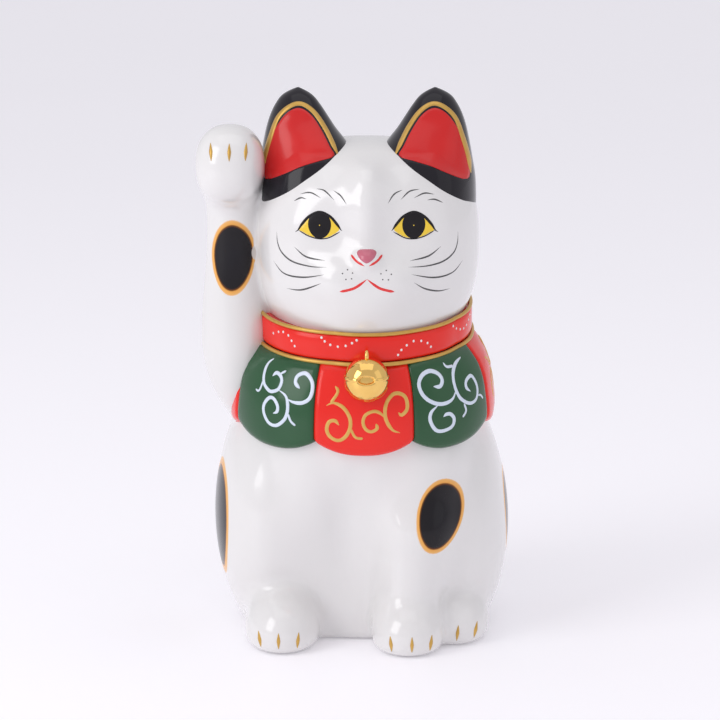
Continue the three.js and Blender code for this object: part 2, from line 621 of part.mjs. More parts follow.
// ---- bell ----
const bellCentre = [HEAD_X, -0.977 * HALF_DEPTH, 0.878 * NECK_Z];
const sphere = (radius) => {
  const ball = new THREE.SphereGeometry(radius, 22, 14);
  ball.translate(...bellCentre);
  return solid(ball);
};
const slit = new THREE.CylinderGeometry(1.3 * BELL_RADIUS, 1.3 * BELL_RADIUS, 0.14 * BELL_RADIUS, 20);
slit.rotateX(Math.PI / 2);
slit.translate(bellCentre[0], bellCentre[1], bellCentre[2] + 0.16 * BELL_RADIUS);
const slitFloor = sphere(0.84 * BELL_RADIUS);
const mouth = new THREE.SphereGeometry(0.3 * BELL_RADIUS, 10, 6);
mouth.scale(1, 1, 0.6);
mouth.translate(bellCentre[0], bellCentre[1] - BELL_RADIUS, bellCentre[2] + 0.16 * BELL_RADIUS);
// The bell is a half relief: its back is flat, just clear of the bib.
const behind = new THREE.BoxGeometry(BODY_WIDTH, BODY_DEPTH, BODY_WIDTH);
behind.translate(0, bellCentre[1] + 0.14 * BELL_RADIUS + HALF_DEPTH, bellCentre[2]);
const bell = sphere(BELL_RADIUS).subtract(solid(slit).subtract(slitFloor)).subtract(solid(mouth));
add("bell", largest(bell.subtract(solid(behind)).subtract(band)), "bell");
const loop = new THREE.TorusGeometry(0.2 * BELL_RADIUS, 0.09 * BELL_RADIUS, 6, 14);
loop.rotateY(Math.PI / 2);
loop.scale(1, 1.05, 1);
loop.translate(bellCentre[0], bellCentre[1] + 0.05 * BELL_RADIUS, bellCentre[2] + 1.04 * BELL_RADIUS);
const collarFront = carried((t) => pipingLoop(lowerHeight, t, PIPING_RADIUS + GAP, 0.65), 5, 44, true);
add("bell_loop", largest(solid(loop).subtract(sphere(BELL_RADIUS + GAP)).subtract(collarFront)), "bell");

// ---- claws and nose ----
// A grain lying on a surface: x and z of its middle, lean to the side, found from the front.
function grain(shape, x, z, lean, size) {
  const start = [x, 0, z];
  const r = reach(shape, 0, start, [0, -1, 0], 90);
  const at = new THREE.Vector3(x, -r, z);
  const e = 0.4;
  const normal = new THREE.Vector3(
    shape(at.x + e, at.y, at.z) - shape(at.x - e, at.y, at.z),
    shape(at.x, at.y + e, at.z) - shape(at.x, at.y - e, at.z),
    shape(at.x, at.y, at.z + e) - shape(at.x, at.y, at.z - e),
  ).normalize();
  const up = new THREE.Vector3(lean, 0, 1).addScaledVector(normal, -normal.z).normalize();
  const side = new THREE.Vector3().crossVectors(up, normal).normalize();
  up.crossVectors(normal, side);
  const ball = new THREE.SphereGeometry(1, 10, 6);
  ball.rotateX(Math.PI / 2);
  ball.scale(...size);
  ball.applyMatrix4(new THREE.Matrix4().makeBasis(side, up, normal).setPosition(at));
  return solid(ball);
}
const CLAW = [0.75, 2.6, 1.3];
// Name, middle x / HALF_BODY, middle z / NECK_Z and lean.
const FOOT_CLAWS = [
  ["right_hind_claw_outer", -0.81, 0.048, -0.15],
  ["right_hind_claw_middle", -0.662, 0.05, 0],
  ["right_hind_claw_inner", -0.512, 0.048, 0.1],
  ["left_fore_claw_inner", 0.207, 0.045, -0.1],
  ["left_fore_claw_middle", 0.369, 0.047, 0],
  ["left_fore_claw_outer", 0.517, 0.045, 0.12],
  ["left_hind_claw_middle", 0.73, 0.047, 0.1],
  ["left_hind_claw_outer", 0.874, 0.05, 0.2],
];
for (const [name, across, up, lean] of FOOT_CLAWS) {
  const made = grain(bodyShape, across * HALF_BODY, up * NECK_Z, lean, CLAW);
  add(name, largest(made.subtract(bodyReserve)), "gold");
}
[-0.5, 0.03, 0.5].forEach((across, i) => {
  const x = PAW[0] + across * 0.208 * ARM_REACH;
  const made = grain(armShape, x, PAW[2] + 0.43 * 13, 0.16 * across, CLAW);
  add(`raised_paw_claw_${["outer", "middle", "inner"][i]}`, largest(made.subtract(armReserve)), "gold");
});
const noseGrain = grain(headShape, HEAD_X, HEAD_Z - 0.015 * CHIN_DROP, 0, [3, 2, 1.6]);
add("nose", largest(noseGrain.subtract(headReserve)), "pink");

export default figurine;
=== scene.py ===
import bpy
import math
import numpy as np
import openvdb
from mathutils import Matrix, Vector


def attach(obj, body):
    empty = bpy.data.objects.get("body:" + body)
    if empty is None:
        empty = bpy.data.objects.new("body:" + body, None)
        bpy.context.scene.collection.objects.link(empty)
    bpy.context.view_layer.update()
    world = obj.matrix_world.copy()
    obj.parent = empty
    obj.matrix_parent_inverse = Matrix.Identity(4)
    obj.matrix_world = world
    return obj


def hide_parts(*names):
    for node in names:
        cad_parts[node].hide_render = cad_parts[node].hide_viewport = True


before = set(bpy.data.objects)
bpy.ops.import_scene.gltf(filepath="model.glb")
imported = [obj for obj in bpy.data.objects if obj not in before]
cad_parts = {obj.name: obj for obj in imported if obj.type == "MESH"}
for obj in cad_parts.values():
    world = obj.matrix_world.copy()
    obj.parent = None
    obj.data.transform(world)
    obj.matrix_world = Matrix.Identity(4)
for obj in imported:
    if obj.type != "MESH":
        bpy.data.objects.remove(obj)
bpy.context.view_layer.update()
MM = 0.001

# ---- the figure's clay shapes, in millimetres: negative inside, zero on the glaze ----
HALF_BODY, HALF_DEPTH, NECK_Z = 42.0, 45.0, 105.0
HALF_HEAD, FACE, HEAD_Z, CROWN_RISE, CHIN_DROP = 37.0, 34.5, 132.0, 32.3, 38.5
HEAD_X, HEAD_Y, TORSO_X = 0.8, -3.0, -0.6
EAR_TIP_Z, PAW_TOP_Z, ARM_REACH = 181.3, 170.3, 53.8
EAR_ROOT_Z, ARM_FOOT_Z = 0.806 * EAR_TIP_Z, 0.633 * NECK_Z
SLOPE = 0.11
COLLAR_BOTTOM, COLLAR_TOP = NECK_Z - 0.48 * 8.5, NECK_Z + 0.52 * 8.5
EAR_DISH, EAR_TURN = 2.6, 0.18

TORSO = [(-0.02, 0.905, 0.556, 0.956), (0, 0.912, 0.567, 0.956), (0.143, 0.964, 0.644, 0.989),
         (0.286, 0.993, 0.733, 1.011), (0.429, 1.005, 0.811, 0.989), (0.571, 0.995, 0.86, 0.944),
         (0.667, 0.971, 0.882, 0.9), (0.733, 0.964, 0.889, 0.862), (0.8, 0.925, 0.87, 0.829),
         (0.857, 0.865, 0.825, 0.785), (0.905, 0.805, 0.785, 0.745), (0.952, 0.75, 0.755, 0.705),
         (1, 0.715, 0.735, 0.68), (1.1, 0.7, 0.71, 0.655)]
BIB = [(0.6, 0.98, 0.93, 0.95), (0.676, 1.03, 0.955, 0.93), (0.733, 1.052, 0.965, 0.91),
       (0.8, 1.035, 0.96, 0.875), (0.857, 1.008, 0.94, 0.84), (0.905, 0.957, 0.905, 0.8),
       (0.962, 0.845, 0.845, 0.765), (1.02, 0.81, 0.83, 0.75)]
BAND = [(0, 0.825, 0.846, 0.769), (2, 0.825, 0.846, 0.769)]
ARM = [(0, 0.773, 0.747, -0.07, 0.04), (0.034, 0.81, 0.699, -0.2, 0.16), (0.092, 0.881, 0.632, -0.31, 0.22),
       (0.154, 0.942, 0.576, -0.4, 0.267), (0.226, 0.983, 0.548, -0.444, 0.278), (0.294, 1, 0.539, -0.456, 0.267),
       (0.361, 0.998, 0.545, -0.444, 0.222), (0.419, 0.991, 0.576, -0.422, 0.167), (0.487, 0.978, 0.61, -0.404, 0.111),
       (0.564, 0.965, 0.632, -0.396, 0.067), (0.65, 0.957, 0.636, -0.4, 0.033), (0.727, 0.959, 0.632, -0.407, 0.033),
       (0.804, 0.967, 0.632, -0.422, 0.022), (0.9, 0.967, 0.65, -0.422, 0)]
EAR = [(0, 0.06, 0.973, -0.84, 0.44), (0.17, 0.065, 0.965, -0.8, 0.41), (0.341, 0.092, 0.938, -0.735, 0.35),
       (0.511, 0.181, 0.908, -0.61, 0.27), (0.625, 0.268, 0.884, -0.51, 0.2), (0.739, 0.341, 0.849, -0.405, 0.13),
       (0.838, 0.405, 0.803, -0.32, 0.06), (0.924, 0.473, 0.741, -0.235, 0.01), (0.983, 0.538, 0.67, -0.17, -0.04)]
DISH = [(0.575, 0.835), (0.475, 0.77), (0.385, 0.64), (0.31, 0.5), (0.27, 0.42), (0.4, 0.385), (0.56, 0.335),
        (0.72, 0.255), (0.88, 0.18), (0.915, 0.23), (0.895, 0.37), (0.845, 0.55), (0.765, 0.71), (0.67, 0.81)]
FEET = [(0.345, -0.733, 0.286, 0.9, 0.11, 4), (-0.638, -0.589, 0.298, 1.11, 0.119, 6),
        (0.702, -0.422, 0.286, 0.957, 0.114, 4)]


def profile(rows, at):
    rows = np.array(rows, float)
    zs, vs = rows[:, 0], rows[:, 1:]
    h = np.diff(zs)[:, None]
    sl = np.diff(vs, axis=0) / h
    m = np.vstack([sl[:1], (sl[:-1] * h[1:] + sl[1:] * h[:-1]) / (h[1:] + h[:-1]), sl[-1:]])
    t = np.clip(at, zs[0], zs[-1])
    i = np.clip(np.searchsorted(zs, t, side="right") - 1, 0, len(zs) - 2)
    hh = (zs[i + 1] - zs[i])
    s = ((t - zs[i]) / hh)[:, None]
    hh = hh[:, None]
    a = (1 + 2 * s) * (1 - s) ** 2 * vs[i] + s * (1 - s) ** 2 * hh * m[i]
    return (a + s * s * (3 - 2 * s) * vs[i + 1] + s * s * (s - 1) * hh * m[i + 1]).T


def blend(a, b, k):
    h = np.maximum(k - np.abs(a - b), 0) / k
    return np.minimum(a, b) - h * h * k * 0.25


def carve(a, b, k):
    return -blend(-a, -b, k)


def oval(P, centre, radii):
    p, r = P - np.array(centre, float), np.array(radii, float)
    k0 = np.linalg.norm(p / r, axis=1)
    return k0 * (k0 - 1) / np.maximum(np.linalg.norm(p / (r * r), axis=1), 1e-9)


def dome(P, centre, radii, plan, upright):
    """A rounded block; its lowest and highest levels may have radii of their own."""
    p = P - np.array(centre, float)
    a, b, c = [np.abs(p[:, i] / radii[i]) for i in range(3)]
    q = ((a ** plan + b ** plan) ** (upright / plan) + c ** upright) ** (1 / upright)
    return np.linalg.norm(p, axis=1) * (1 - 1 / np.maximum(q, 1e-6))


def limb(P, start, end, r0, r1):
    a, b = np.array(start, float), np.array(end, float)
    t = np.clip(((P - a) @ (b - a)) / ((b - a) @ (b - a)), 0, 1)
    return np.linalg.norm(P - a - t[:, None] * (b - a), axis=1) - (r0 + (r1 - r0) * t)


def section(x, y, left, right, front, back, power):
    dx, dy = x - (left + right) / 2, y - (front + back) / 2
    q = (np.abs(dx / ((right - left) / 2)) ** power + np.abs(dy / ((back - front) / 2)) ** power) ** (1 / power)
    return np.hypot(dx, dy) * (1 - 1 / np.maximum(q, 1e-6))


def column(P, rows, at):
    half, front, back = profile(rows, at / NECK_Z)
    w = half * HALF_BODY
    return section(P[:, 0], P[:, 1], TORSO_X - w, TORSO_X + w, -front * HALF_DEPTH, back * HALF_DEPTH, 2.25)


def body_shape(P):
    B, D, N = HALF_BODY, HALF_DEPTH, NECK_Z
    d = carve(column(P, TORSO, P[:, 2]), P[:, 2] - 1.09 * N, 3)
    d = blend(d, oval(P, (-0.75 * B, 0.09 * D, 0.352 * N), (0.44 * B, 0.8 * D, 0.362 * N)), 10)
    d = blend(d, oval(P, (0.726 * B, 0.11 * D, 0.314 * N), (0.429 * B, 0.78 * D, 0.352 * N)), 10)
    elbow = (0.4 * B, -0.655 * D, 0.38 * N)
    upper = limb(P, (0.46 * B, -0.56 * D, 0.57 * N), elbow, 0.262 * B, 0.276 * B)
    lower = limb(P, elbow, (0.345 * B, -0.665 * D, 0.114 * N), 0.276 * B, 0.243 * B)
    d = blend(d, blend(upper, lower, 4), 7)
    hollow = oval(P, (-0.167 * B, -1.02 * D, 0.21 * N), (0.214 * B, 0.355 * D, 0.324 * N))
    d = carve(d, -hollow, 12)
    for cx, cy, wide, long, tall, soft in FEET:
        d = blend(d, oval(P, (cx * B, cy * D, 0.057 * N), (wide * B, long * 0.36 * D, tall * N)), soft)
    return carve(d, -P[:, 2], 2.5)


def head_shape(P):
    H, F, eyes = HALF_HEAD, FACE, HEAD_Z + 0.23 * CROWN_RISE
    rise = np.where(P[:, 2] > HEAD_Z, CROWN_RISE, CHIN_DROP)
    d = dome(P, (HEAD_X, HEAD_Y, HEAD_Z), (H, F, rise), 2.25, 2.6)
    for side in (-1, 1):
        cheek = (HEAD_X + side * 0.19 * H, HEAD_Y - 0.884 * F, HEAD_Z - 0.25 * CHIN_DROP)
        d = blend(d, oval(P, cheek, (8.5, 0.209 * F, 7.5)), 8)
    d = blend(d, oval(P, (HEAD_X, HEAD_Y - 0.84 * F, HEAD_Z - 0.45 * CHIN_DROP), (10, 0.209 * F, 7)), 8)
    jowl = (HEAD_X, HEAD_Y - 0.5 * F, HEAD_Z - 0.61 * CHIN_DROP)
    d = blend(d, oval(P, jowl, (0.6 * H, 0.475 * F, 0.354 * CHIN_DROP)), 6)
    d = blend(d, oval(P, (HEAD_X, HEAD_Y - 0.8 * F, eyes + 2), (5, 0.232 * F, 16)), 8)
    d = blend(d, oval(P, (HEAD_X, HEAD_Y - 1.06 * F, HEAD_Z - 0.04 * CHIN_DROP), (3.8, 3.2, 2.9)), 3.5)
    for side in (-1, 1):
        socket = (HEAD_X + side * 0.39 * H, HEAD_Y - 1.22 * F, eyes)
        d = carve(d, -oval(P, socket, (11, 0.215 * F, 7)), 9)
    return d


PAW = (-0.807 * ARM_REACH, -0.344 * HALF_DEPTH, PAW_TOP_Z - 13)


def arm_shape(P):
    outer, inner, front, back = profile(ARM, (P[:, 2] - ARM_FOOT_Z) / (PAW_TOP_Z - ARM_FOOT_Z))
    left, right = -outer * ARM_REACH, -inner * ARM_REACH
    d = section(P[:, 0], P[:, 1], left, right, front * HALF_DEPTH, back * HALF_DEPTH, 2.1)
    d = carve(carve(d, ARM_FOOT_Z - P[:, 2], 3), P[:, 2] - PAW[2], 6)
    return blend(d, dome(P, PAW, (0.208 * ARM_REACH, 0.3 * HALF_DEPTH, 13), 2.3, 2.3), 5)


def ear_row(z):
    inner, outer, front, back = profile(EAR, (z - EAR_ROOT_Z) / (EAR_TIP_Z - EAR_ROOT_Z))
    return inner * HALF_HEAD, outer * HALF_HEAD, front * FACE, back * FACE


def ear_shape(P, side=1):
    x = (P[:, 0] - HEAD_X) * side
    inner, outer, front, back = ear_row(P[:, 2])
    y = P[:, 1] - EAR_TURN * (x - (inner + outer) / 2)
    return carve(section(x, y, inner, outer, front, back, 2.05), P[:, 2] - EAR_TIP_Z, 4)


def bib_shape(P):
    return column(P, BIB, P[:, 2] - SLOPE * P[:, 1])


def skin_shape(P):
    d = blend(body_shape(P), head_shape(P), 3)
    return blend(d, arm_shape(P), 2.5)


def reach(shape, start, direction, far, near=0.0):
    """The outermost crossing of a shape along each direction."""
    start, direction = [np.atleast_2d(v).astype(float) for v in (start, direction)]
    start, direction = np.broadcast_arrays(start, direction)
    r = np.full(len(start), float(far))
    out = r.copy()
    live = np.ones(len(start), bool)
    while live.any():
        i = np.where(live)[0]
        inside = shape(start[i] + r[i, None] * direction[i]) < 0
        live[i[inside]] = False
        j = i[~inside]
        out[j] = r[j]
        r[j] -= 0.9
        live[j[r[j] < near]] = False
    lo, hi = np.minimum(r, out), out.copy()
    for _ in range(22):
        mid = (lo + hi) / 2
        outside = shape(start + mid[:, None] * direction) > 0
        hi = np.where(outside, mid, hi)
        lo = np.where(outside, lo, mid)
    return (lo + hi) / 2


# ---- meshes ----
def circle(count):
    """Evenly spaced angles once round."""
    return np.linspace(0, 2 * math.pi, count, endpoint=False)


def slope_of(shape, P):
    e = 0.05
    base = shape(P)
    g = np.stack([shape(P + e * np.eye(3)[i]) - base for i in range(3)], 1) / e
    return base, g / np.maximum(np.linalg.norm(g, axis=1)[:, None], 1e-9), np.linalg.norm(g, axis=1)


def iso(shape, lo, hi, step, settle=2):
    """Quads on the zero surface of a shape, found on a fine grid near the surface only."""
    lo, hi = np.array(lo, float), np.array(hi, float)
    k = 4
    blocks = np.ceil((hi - lo) / (k * step)).astype(int)
    axes = [lo[i] + k * step * np.arange(blocks[i] + 1) for i in range(3)]
    corners = np.stack(np.meshgrid(*axes, indexing="ij"), -1)
    rough = shape(corners.reshape(-1, 3)).reshape(corners.shape[:3])
    low = np.full(tuple(blocks), 1e9)
    for i in (0, 1):
        for j in (0, 1):
            for m in (0, 1):
                part = rough[i:i + blocks[0], j:j + blocks[1], m:m + blocks[2]]
                low = np.where(np.abs(part) < np.abs(low), part, low)
    near = np.abs(low) < 1.5 * k * step
    fine = np.repeat(np.repeat(np.repeat(low, k, 0), k, 1), k, 2)
    index = np.argwhere(np.repeat(np.repeat(np.repeat(near, k, 0), k, 1), k, 2))
    for start in range(0, len(index), 200000):
        some = index[start:start + 200000]
        fine[some[:, 0], some[:, 1], some[:, 2]] = shape(lo + some * step)
    grid = openvdb.FloatGrid(9.0)
    grid.copyFromArray(np.clip(fine, -9, 9).astype(np.float32))
    points, triangles, quads = grid.convertToPolygons(isovalue=0.0, adaptivity=0.0)
    P = lo + points.astype(float) * step
    for _ in range(settle):
        d, n, size = slope_of(shape, P)
        P = P - n * np.clip(d / np.maximum(size, 0.3), -step, step)[:, None]
    faces = [tuple(int(v) for v in q) for q in quads] + [tuple(int(v) for v in t) for t in triangles]
    a, b, c = P[quads[:, 0]], P[quads[:, 1]], P[quads[:, 2]]
    _, n, _ = slope_of(shape, a[:2000])
    if (np.cross(b - a, c - a)[:2000] * n).sum() < 0:
        faces = [f[::-1] for f in faces]
    return P, faces


def make(name, points, faces, material, stands_for=(), marks=None):
    """One piece of the cat, given in millimetres."""
    mesh = bpy.data.meshes.new(name)
    mesh.from_pydata((np.asarray(points) * MM).tolist(), [], [tuple(f) for f in faces])
    mesh.polygons.foreach_set("use_smooth", [True] * len(mesh.polygons))
    if marks is not None:
        mesh.attributes.new("rho", "FLOAT", "POINT").data.foreach_set("value", np.asarray(marks, np.float32))
    mesh.materials.append(material)
    mesh.update()
    obj = bpy.data.objects.new(name, mesh)
    bpy.context.collection.objects.link(obj)
    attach(obj, "root")
    if stands_for:
        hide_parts(*stands_for)
    return obj


def sheet_faces(rows, cols, around=True, offset=0):
    faces = []
    for i in range(rows - 1):
        for j in range(cols if around else cols - 1):
            k = (j + 1) % cols
            row, after = offset + i * cols, offset + (i + 1) * cols
            faces.append((row + j, row + k, after + k, after + j))
    return faces


def outward(points, faces):
    """The same faces, turned so that their fronts look out of the closed piece."""
    P = np.asarray(points)
    volume = 0.0
    for f in faces:
        for i in range(1, len(f) - 1):
            volume += np.dot(P[f[0]], np.cross(P[f[i]], P[f[i + 1]]))
    return faces if volume > 0 else [tuple(f)[::-1] for f in faces]


def lofted(loops, closed=False):
    """Points and faces of a tube through equal loops; open ends are capped."""
    rows, cols = len(loops), len(loops[0])
    P = np.concatenate(loops)
    faces = sheet_faces(rows, cols)
    if closed:
        last = (rows - 1) * cols
        faces += [(last + j, last + (j + 1) % cols, (j + 1) % cols, j) for j in range(cols)]
    else:
        faces += [tuple(range(cols))[::-1], tuple((rows - 1) * cols + j for j in range(cols))]
    return P, outward(P - P.mean(0), faces)


def smooth_line(points, step=0.35, closed=False):
    """A Catmull-Rom line through points in a flat map, resampled evenly."""
    p = np.array(points, float)
    p = np.vstack([p[-1], p, p[0], p[1]]) if closed else np.vstack([2 * p[0] - p[1], p, 2 * p[-1] - p[-2]])
    out = []
    for i in range(1, len(p) - 2):
        t = np.linspace(0, 1, 16, endpoint=False)[:, None]
        a, b, c, d = p[i - 1], p[i], p[i + 1], p[i + 2]
        square, cube = 2 * a - 5 * b + 4 * c - d, 3 * b - a - 3 * c + d
        out.append(0.5 * (2 * b + (c - a) * t + square * t ** 2 + cube * t ** 3))
    out = np.vstack(out + [p[-2:-1]])
    along = np.concatenate([[0], np.cumsum(np.linalg.norm(np.diff(out, axis=0), axis=1))])
    n = max(int(along[-1] / step), 6)
    s = np.linspace(0, along[-1], n + 1)
    return np.stack([np.interp(s, along, out[:, k]) for k in range(out.shape[1])], 1)


def ribbon(name, line, width, chart, material, raise_by=0.12, ends=(0.12, 0.12), sink=0.35):
    """A brush stroke laid on a surface: domed across, tapered at both ends."""
    p = smooth_line(line)
    n = len(p)
    tangent = np.gradient(p, axis=0)
    tangent /= np.linalg.norm(tangent, axis=1)[:, None]
    side = np.stack([-tangent[:, 1], tangent[:, 0]], 1)
    t = np.linspace(0, 1, n)
    taper = np.ones(n)
    for end, length in ((t, ends[0]), (1 - t, ends[1])):
        if length:
            taper *= np.clip(end / length, 0.04, 1) ** 0.6
    half = 0.5 * width * taper
    across = np.array([-1, -0.75, -0.35, 0, 0.35, 0.75, 1])
    flat = (p[:, None] + across[None, :, None] * half[:, None, None] * side[:, None]).reshape(-1, 2)
    place, normal = chart(flat)
    bulge = np.sqrt(np.clip(1 - across ** 2, 0, 1))
    dome_up = (raise_by * bulge * np.clip(taper, 0.3, 1)[:, None] - 0.03).reshape(-1)
    top = (place + normal * dome_up[:, None]).reshape(n, 7, 3)
    under = (place - normal * sink).reshape(n, 7, 3)[:, [6, 0]]
    P, faces = lofted(list(np.concatenate([top, under], 1)))
    return make(name, P, faces, material)


def patch(name, outline, chart, material, raise_by=0.12, sink=0.35, rings=10, power=4.0):
    """A painted field with a star-shaped outline, slightly domed."""
    edge = smooth_line(outline, 0.5, closed=True)[:-1]
    middle = edge.mean(0)
    n = len(edge)
    rho = np.concatenate([[0.0], np.linspace(0, 1, rings + 1)[1:] ** 0.6])
    flat = [middle[None]] + [middle + r * (edge - middle) for r in rho[1:]]
    flat = np.vstack(flat)
    level = np.concatenate([[0.0]] + [np.full(n, r) for r in rho[1:]])
    place, normal = chart(flat)
    top = place + normal * (raise_by * (1 - level ** power) - 0.03)[:, None]
    under = place[-n:] - normal[-n:] * sink
    under_middle = place[:1] - normal[:1] * sink
    P = np.vstack([top, under, under_middle])
    faces = [(0, 1 + (j + 1) % n, 1 + j) for j in range(n)]
    faces += sheet_faces(rings + 1, n, True, 1)
    last = 1 + rings * n
    faces += [(last + j, last + (j + 1) % n, len(P) - 1) for j in range(n)]
    faces = outward(P - P.mean(0), faces)
    return make(name, P, faces, material, marks=np.concatenate([level, np.ones(n), [1.0]]))


# ---- charts: flat maps laid on the cat's surfaces ----
def on_front(flat):
    """(x, z) seen square on from the front."""
    start = np.stack([flat[:, 0], np.full(len(flat), 8.0), flat[:, 1]], 1)
    far = reach(skin_shape, start, (0, -1, 0), 66)
    P = start + far[:, None] * np.array([0, -1.0, 0])
    return P, slope_of(skin_shape, P)[1]


def on_head(flat):
    """The same from the middle of the face, across and up."""
    return on_front(flat + np.array([HEAD_X, 0]))


TURN_SCALE = 40.0  # mm of map for each radian about the neck
COLLAR_AXIS = np.array([0.0, -2.0])


def spoke(turn, height):
    start = np.stack([np.zeros_like(turn), np.full_like(turn, -2.0), height - 2.0 * SLOPE], 1)
    way = np.stack([np.sin(turn), -np.cos(turn), -SLOPE * np.cos(turn)], 1)
    return start, way


def bib_radius(turn, height):
    start, way = spoke(turn, height)
    outer = reach(bib_shape, start, way, 62, 20)
    body = reach(body_shape, start, way, 62, 20)
    return np.maximum(outer, body + 0.9), body, start, way


def neckline(P):
    return blend(head_shape(P), body_shape(P), 3)


def band_radius(turn, height):
    start, way = spoke(turn, height)
    outer = reach(lambda P: column(P, BAND, P[:, 2]), start, way, 62, 15)
    for level in (COLLAR_BOTTOM, COLLAR_TOP):
        s, w = spoke(turn, np.full_like(turn, level))
        outer = np.maximum(outer, reach(neckline, s, w, 62, 15) + 2.0)
    return outer, start, way


def round_the_neck(radius):
    def chart(flat):
        turn, height = flat[:, 0] / TURN_SCALE, flat[:, 1]
        r, start, way = radius(turn, height)
        P = start + r[:, None] * way
        e = 0.02
        a = radius(turn + e, height)
        b = radius(turn, height + 0.3)
        u = a[1] + a[0][:, None] * a[2] - P
        v = b[1] + b[0][:, None] * b[2] - P
        n = np.cross(u, v)
        n /= np.linalg.norm(n, axis=1)[:, None]
        return P, n * np.sign((n * way).sum(1))[:, None]
    return chart


def bib_only(turn, height):
    r, _, start, way = bib_radius(turn, height)
    return r, start, way


on_bib = round_the_neck(bib_only)
on_band = round_the_neck(band_radius)


def on_side(flat):
    """(turn * 45, z) about the body's upright axis."""
    turn = flat[:, 0] / 45.0
    start = np.stack([np.full_like(turn, TORSO_X), np.full_like(turn, 4.0), flat[:, 1]], 1)
    way = np.stack([np.sin(turn), -np.cos(turn), np.zeros_like(turn)], 1)
    P = start + reach(body_shape, start, way, 66, 10)[:, None] * way
    return P, slope_of(body_shape, P)[1]


# ---- finishes ----
def finish_of(name, low, high, rough, coat=0.0, metal=0.0, grain=60.0, bump=0.02, gloss_change=0.04,
              ramp=None, mirror=0.5, glow=0.0):
    """A fired glaze: soft changes of colour, gloss and level, in the object's own frame."""
    material = bpy.data.materials.new(name)
    material.use_nodes = True
    nodes, links = material.node_tree.nodes, material.node_tree.links
    shader = nodes["Principled BSDF"]
    where = nodes.new("ShaderNodeTexCoord")
    cloud = nodes.new("ShaderNodeTexNoise")
    cloud.inputs["Scale"].default_value = grain
    cloud.inputs["Detail"].default_value = 4.0
    cloud.inputs["Roughness"].default_value = 0.55
    links.new(where.outputs["Object"], cloud.inputs["Vector"])
    tone = nodes.new("ShaderNodeMix")
    tone.data_type = "RGBA"
    tone.inputs["A"].default_value = (*low, 1)
    tone.inputs["B"].default_value = (*high, 1)
    links.new(cloud.outputs["Fac"], tone.inputs["Factor"])
    colour = tone.outputs["Result"]
    if ramp:
        mark = nodes.new("ShaderNodeAttribute")
        mark.attribute_name = "rho"
        wander = nodes.new("ShaderNodeMath")
        wander.operation = "MULTIPLY_ADD"
        links.new(cloud.outputs["Fac"], wander.inputs[0])
        wander.inputs[1].default_value = 0.05
        links.new(mark.outputs["Fac"], wander.inputs[2])
        bands = nodes.new("ShaderNodeValToRGB")
        while len(bands.color_ramp.elements) < len(ramp):
            bands.color_ramp.elements.new(0.5)
        for element, (at, rgb) in zip(bands.color_ramp.elements, ramp):
            element.position = at
            element.color = (*rgb, 1)
        links.new(wander.outputs["Value"], bands.inputs["Fac"])
        both = nodes.new("ShaderNodeMix")
        both.data_type = "RGBA"
        both.inputs["Factor"].default_value = 0.06
        links.new(bands.outputs["Color"], both.inputs["A"])
        links.new(colour, both.inputs["B"])
        colour = both.outputs["Result"]
    links.new(colour, shader.inputs["Base Color"])
    gloss = nodes.new("ShaderNodeMath")
    gloss.operation = "MULTIPLY_ADD"
    links.new(cloud.outputs["Fac"], gloss.inputs[0])
    gloss.inputs[1].default_value = gloss_change
    gloss.inputs[2].default_value = rough - 0.5 * gloss_change
    links.new(gloss.outputs["Value"], shader.inputs["Roughness"])
    swell = nodes.new("ShaderNodeTexNoise")
    swell.inputs["Scale"].default_value = 150.0
    swell.inputs["Detail"].default_value = 1.0
    links.new(where.outputs["Object"], swell.inputs["Vector"])
    ripple = nodes.new("ShaderNodeBump")
    ripple.inputs["Strength"].default_value = bump
    ripple.inputs["Distance"].default_value = 0.001
    links.new(swell.outputs["Fac"], ripple.inputs["Height"])
    links.new(ripple.outputs["Normal"], shader.inputs["Normal"])
    shader.inputs["Metallic"].default_value = metal
    shader.inputs["Specular IOR Level"].default_value = mirror
    shader.inputs["Emission Color"].default_value = (*high, 1)
    shader.inputs["Emission Strength"].default_value = glow
    shader.inputs["Coat Weight"].default_value = coat
    shader.inputs["Coat Roughness"].default_value = 0.04
    return material


GLAZE = finish_of("white_glaze", (0.77, 0.757, 0.75), (0.82, 0.806, 0.797), 0.18, coat=0.6, grain=25)
BLACK = finish_of("black_glaze", (0.006, 0.005, 0.009), (0.011, 0.009, 0.014), 0.13, coat=0.05, mirror=0.3)
RED = finish_of("red_enamel", (0.80, 0.016, 0.010), (0.88, 0.022, 0.012), 0.2, coat=0.1, mirror=0.35)
EAR_RED = finish_of("ear_red_enamel", (0.55, 0.010, 0.012), (0.68, 0.014, 0.012), 0.18, coat=0.1, mirror=0.35)
GREEN = finish_of("green_enamel", (0.018, 0.078, 0.03), (0.026, 0.10, 0.04), 0.2, coat=0.1, mirror=0.35)
GOLD_LINE = finish_of("gilt_line", (0.52, 0.30, 0.055), (0.72, 0.45, 0.12), 0.34, metal=0.55, grain=400)
GOLD = finish_of("bell_gilding", (0.83, 0.50, 0.13), (0.95, 0.64, 0.22), 0.10, metal=1.0, grain=180, bump=0.12)
GOLD_PAINT = finish_of("gold_paint", (0.62, 0.36, 0.07), (0.80, 0.50, 0.14), 0.36, metal=0.25, grain=500)
VINE = finish_of("pale_blue_enamel", (0.62, 0.70, 0.84), (0.74, 0.81, 0.92), 0.30, coat=0.3, grain=500)
DOT = finish_of("white_enamel", (0.86, 0.84, 0.83), (0.93, 0.91, 0.90), 0.30, coat=0.3, grain=500)
PINK = finish_of("pink_enamel", (0.50, 0.10, 0.16), (0.62, 0.16, 0.22), 0.26, coat=0.5, grain=400)
YELLOW = finish_of("yellow_enamel", (0.86, 0.56, 0.02), (0.93, 0.66, 0.04), 0.22, coat=0.5, grain=400)
